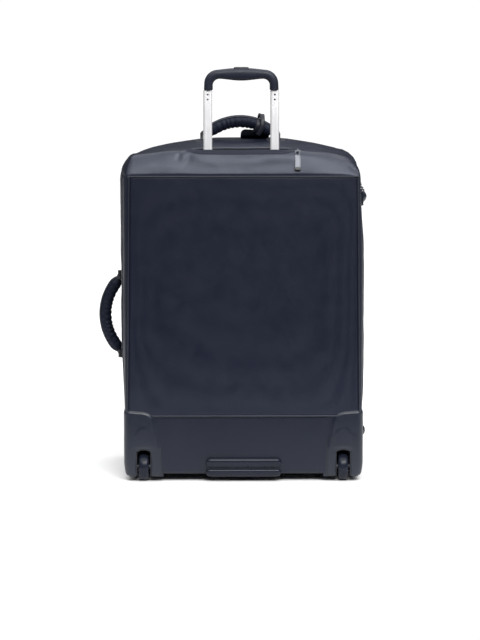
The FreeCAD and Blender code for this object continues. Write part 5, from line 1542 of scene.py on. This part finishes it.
def bumper():
    lo, hi = mm_box("skid_bumper")
    half = (hi.x - lo.x) / 2
    bands = [("bumper_upper",
              [(0.4, 27.2), (-4.6, 27.6), (-6.2, 29.0), (-6.9, 31.5), (-7.4, 37.5), (-7.3, 40.0),
               (-6.6, 42.2), (-5.2, 43.8), (-3.2, 44.6), (0.4, 44.8)]),
             ("bumper_lower",
              [(0.4, 10.0), (-3.6, 10.2), (-5.6, 11.8), (-6.9, 14.5), (-7.5, 18.0), (-7.3, 21.0),
               (-6.4, 23.0), (-4.8, 24.0), (0.4, 24.2)]),
             ("bumper_web",
              [(0.3, 12.0), (-2.6, 12.2), (-2.9, 20.0), (-2.9, 34.0), (-2.6, 43.0), (0.3, 43.2)])]
    for name, section in bands:
        section = np.array(section)
        mid = (section[:, 1].max() + section[:, 1].min()) / 2
        tall = (section[:, 1].max() - section[:, 1].min()) / 2
        reach = half - (3.0 if name == "bumper_web" else 0.0)
        rows = []
        bend = min(tall, 9.0)
        xs = list(-reach
                  + bend * (1 - np.cos(np.linspace(0, math.pi / 2, 9)))) + list(np.linspace(-reach + bend,
                                                                                            reach - bend,
                                                                                            60))[1:-1] + list(reach - bend * (1 - np.cos(np.linspace(math.pi / 2, 0, 9))))
        for x in xs:
            t = max(0.0, (abs(x) - (reach - bend)) / bend)
            k = math.sqrt(max(0.0, 1 - t * t))
            k = max(k, 0.03)
            zz = mid + (section[:, 1] - mid) * (k if tall < 12 else max(k, 0.55))
            yy = section[:, 0] * (0.35 + 0.65 * k)
            rows.append(np.stack([np.full(len(section), x), yy, zz], 1))
        grid = np.array(rows)
        piece = make(name, grid.reshape(-1, 3), capped(len(rows), len(section)), "bumper", sharp=45)
        face_out(piece)
        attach(piece, "case")
        if name == "bumper_web":
            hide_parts("skid_bumper")
    for k, y in enumerate((3.0, 24.0, 45.0)):
        path = [(x, y, 10.9) for x in np.linspace(-half + 5, half - 5, 30)]
        radius = [3.2 * math.sqrt(min(1.0, 0.15 + 0.12 * min(i, 29 - i) * 3)) for i in range(30)]
        skid = tube(f"bumper_skid_{k}", path, np.clip(radius, 0.5, 3.2), "bumper", sides=14)
        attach(skid, "case")
    sole = rounded_box("bumper_sole", (0, 28.0, 12.2), (2 * half - 6, 58.0, 3.0), 1.2, "bumper")
    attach(sole, "case")


# ---- inside -------------------------------------------------------------------------------------
def lining_panel():
    lo, hi = mm_box("back_lining")
    left, right = TROLLEY_X - 98.0, TROLLEY_X + 98.0
    back, front = lo.y + 0.4, hi.y - 0.6
    corners = [(-206, back), (left - 6, back), (left - 1, back + 5), (left, front - 6), (left + 6, front),
               (right - 6, front),
               (right, front - 6), (right + 1, back + 5), (right + 6, back), (206, back)]
    path, _ = resample([(x, y, 0) for x, y in corners], 3.6)
    heights = np.linspace(lo.z, hi.z, 100)
    grid = np.array([[(p[0], p[1], z) for p in path] for z in heights])
    wave = 1.2 * rumple(grid, 60.0, 3.0) + 0.5 * rumple(grid, 20.0, 8.0)
    grid[..., 1] += np.clip(wave, -0.6, 1.6)
    piece = cloth("trolley_lining", grid, 0.7, "lining", "case", inner="lining", flip=True)
    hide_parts("back_lining")


def packing_straps():
    lo, hi = mm_box("packing_straps")
    y0 = (lo.y + hi.y) / 2
    for z, tag in ((205.0, "low"), (405.0, "high")):
        for side in (-1, 1):
            xs = np.linspace(24.0, HALF - 5.0, 60)
            path = [(side * x, y0 + 0.4 - 1.4 * math.sin((x - 24) / (HALF - 29) * math.pi), z
                     - 1.5 * math.sin((x - 24) / (HALF - 29) * math.pi)) for x in xs]
            strap = band(f"strap_{tag}_{'left' if side < 0 else 'right'}", path, 25.0, 1.5, "webbing",
                         "case", across=(0, 0, 1))
            if tag == "low" and side < 0:
                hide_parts("packing_straps")
        female = rounded_box(f"buckle_body_{tag}", (12.2, y0, z), (23.6, 7.4, 32.0), 2.6, "black")
        male = rounded_box(f"buckle_plug_{tag}", (-12.6, y0, z), (22.8, 6.6, 30.0), 2.4, "black")
        tongue = rounded_box(f"buckle_tongue_{tag}", (1.5, y0, z), (10.0, 2.4, 17.0), 0.8, "black")
        for piece in (female, male, tongue):
            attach(piece, "case")


def mouth_hoop():
    """Flat steel spring that keeps the case's mouth open, inside the cloth."""
    path = ring(206.0, inset=5.2)[::2]
    path = np.concatenate([path, path[:1]])
    ways = np.gradient(path, axis=0)
    ways[0] = ways[-1] = path[1] - path[-2]
    hoop = band("mouth_hoop", path, 6.0, 1.2, "steel", "case", across=(0, 1, 0))
    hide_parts("frame_hoop")


def slot_liner():
    """Cloth sleeve that hangs from the slot's edges round the trolley tubes."""
    half, y0, y1 = 80.0, 19.0, 45.0
    loop = rounded_loop(TROLLEY_X, (y0 + y1) / 2, half, (y1 - y0) / 2, (5, 5, 5, 5), count=8)
    rows = []
    for z in np.linspace(574.0, 615.0, 14):
        rows.append(np.stack([loop[:, 0], loop[:, 1], np.full(len(loop), z)], 1))
    grid = np.array(rows)
    grid[..., 1] += 0.5 * rumple(grid, 18.0, 3.0)
    faces = lattice(len(rows), len(loop), wrap_cols=True)
    piece = make("slot_sleeve", grid.reshape(-1, 3), faces, "webbing")
    solid = piece.modifiers.new("thickness", "SOLIDIFY")
    solid.thickness = 0.8 * MM
    apply(piece)
    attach(piece, "case")
    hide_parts("pocket_liner")


# ---- materials of the CAD nodes that stay -------------------------------------------------------
CAD_LOOKS = {
    "board": ["back_board"], "tray": ["base_tray"],
    "steel": ["base_screws", "rivets", "lock_pins", "push_rods", "button_springs"],
    "black": ["middle_collars", "tube_plugs", "tube_bezel", "tube_bracket", "front_feet"],
    "gloss": ["side_feet"],
    "hub": ["wheel_hub_left", "wheel_hub_right"],
    "axle": ["wheel_axles", "wheel_bearings_left", "wheel_bearings_right"],
    "aluminium": ["outer_tubes", "middle_tubes"],
    "zip_metal": ["trolley_zip_slider", "main_zip_slider_a", "main_zip_slider_b", "pocket_zip_slider",
                  "main_zip_pull_a",
                  "main_zip_pull_b", "pocket_zip_pull"],
}
EASED = {"side_feet": 1.1, "front_feet": 1.6, "trolley_zip_slider": 0.5, "main_zip_slider_a": 0.5,
         "main_zip_slider_b": 0.5,
         "pocket_zip_slider": 0.5, "main_zip_pull_a": 0.35, "main_zip_pull_b": 0.35, "pocket_zip_pull": 0.35,
         "middle_collars": 0.5, "tube_bezel": 1.0, "base_tray": 0.6, "wheel_hub_left": 0.4,
         "wheel_hub_right": 0.4}


def cad_looks():
    for look, nodes in CAD_LOOKS.items():
        for node in nodes:
            shown = frame["nodes"][node]
            shown.data.materials.clear()
            shown.data.materials.append(MATS[look])
            if node in EASED:
                weld = shown.modifiers.new("weld", "WELD")
                weld.merge_threshold = 0.00002
                ease = shown.modifiers.new("ease", "BEVEL")
                ease.width = EASED[node] * MM
                ease.segments = 3
                ease.limit_method = "ANGLE"
                ease.angle_limit = math.radians(35)
                ease.harden_normals = False


# ---- floor, light, camera -----------------------------------------------------------------------
def stage():
    floor = make("studio_floor", [(-3500, -340, 0), (3500, -340, 0), (3500, 4500, 0), (-3500, 4500, 0)],
                 [(0, 1, 2, 3)], "board")
    m = Material("floor_paint", Roughness=0.85, Specular_IOR_Level=0.2)
    m.put(m.shader.inputs["Base Color"], m.mix(m.noise(0.8), (0.93, 0.93, 0.93), (0.95, 0.95, 0.95)))
    floor.data.materials.clear()
    floor.data.materials.append(m.material)

    world = bpy.data.worlds.new("studio")
    bpy.context.scene.world = world
    world.use_nodes = True
    tree = world.node_tree
    shown = tree.nodes["Background"]
    shown.inputs["Color"].default_value = (1, 1, 1, 1)
    shown.inputs["Strength"].default_value = 1.05
    room = tree.nodes.new("ShaderNodeBackground")
    way = tree.nodes.new("ShaderNodeTexCoord")
    parts = tree.nodes.new("ShaderNodeSeparateXYZ")
    tree.links.new(way.outputs["Generated"], parts.inputs[0])
    fade = tree.nodes.new("ShaderNodeMapRange")
    fade.interpolation_type = "SMOOTHSTEP"
    for key, value in (("From Min", 0.45), ("From Max", 0.80), ("To Min", ROOM_DARK), ("To Max", ROOM_LIGHT)):
        fade.inputs[key].default_value = value
    tree.links.new(parts.outputs[2], fade.inputs["Value"])
    tree.links.new(fade.outputs["Result"], room.inputs["Strength"])
    rays = tree.nodes.new("ShaderNodeLightPath")
    mix = tree.nodes.new("ShaderNodeMixShader")
    tree.links.new(rays.outputs["Is Camera Ray"], mix.inputs[0])
    tree.links.new(room.outputs[0], mix.inputs[1])
    tree.links.new(shown.outputs[0], mix.inputs[2])
    tree.links.new(mix.outputs[0], tree.nodes["World Output"].inputs["Surface"])

    def lamp(name, place, aim, size, radiance):
        data = bpy.data.lights.new(name, "AREA")
        data.shape = "RECTANGLE"
        data.size, data.size_y = size
        data.energy = radiance * math.pi * size[0] * size[1]
        light = bpy.data.objects.new(name, data)
        light.location = to_metres(place)
        way = Vector(to_metres(aim)) - light.location
        light.rotation_euler = way.to_track_quat("-Z", "Y").to_euler()
        bpy.context.scene.collection.objects.link(light)

    lamp("softbox_high", (900, -2900, 2900), (0, 0, 600), (3.0, 1.6), 9.5)

    camera = bpy.data.cameras.new("camera")
    camera.sensor_width = 36.0
    camera.lens = LENS
    eye = bpy.data.objects.new("camera", camera)
    eye.location = to_metres(EYE)
    way = Vector(to_metres(LOOK_AT)) - eye.location
    eye.rotation_euler = way.to_track_quat("-Z", "Y").to_euler()
    bpy.context.scene.collection.objects.link(eye)
    bpy.context.scene.camera = eye
    bpy.context.scene.view_settings.view_transform = "Standard"


def main():
    stage()
    back_panel()
    back_piping()
    base_cover()
    side_panels()
    slope, over = soft_top()
    lid()
    case_rim_piping()
    front_pocket()
    main_zip()
    piece, anchor = hinge_strip()
    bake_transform(piece)
    slot_zip(slope, over)
    slot_pull()
    tubes()
    grip()
    for kind in ("top_handle", "side_handle"):
        carry_handle(kind)
        handle_anchors(kind)
    luggage_tag()
    guards()
    wheels()
    bumper()
    lining_panel()
    packing_straps()
    slot_liner()
    mouth_hoop()
    cad_looks()


main()
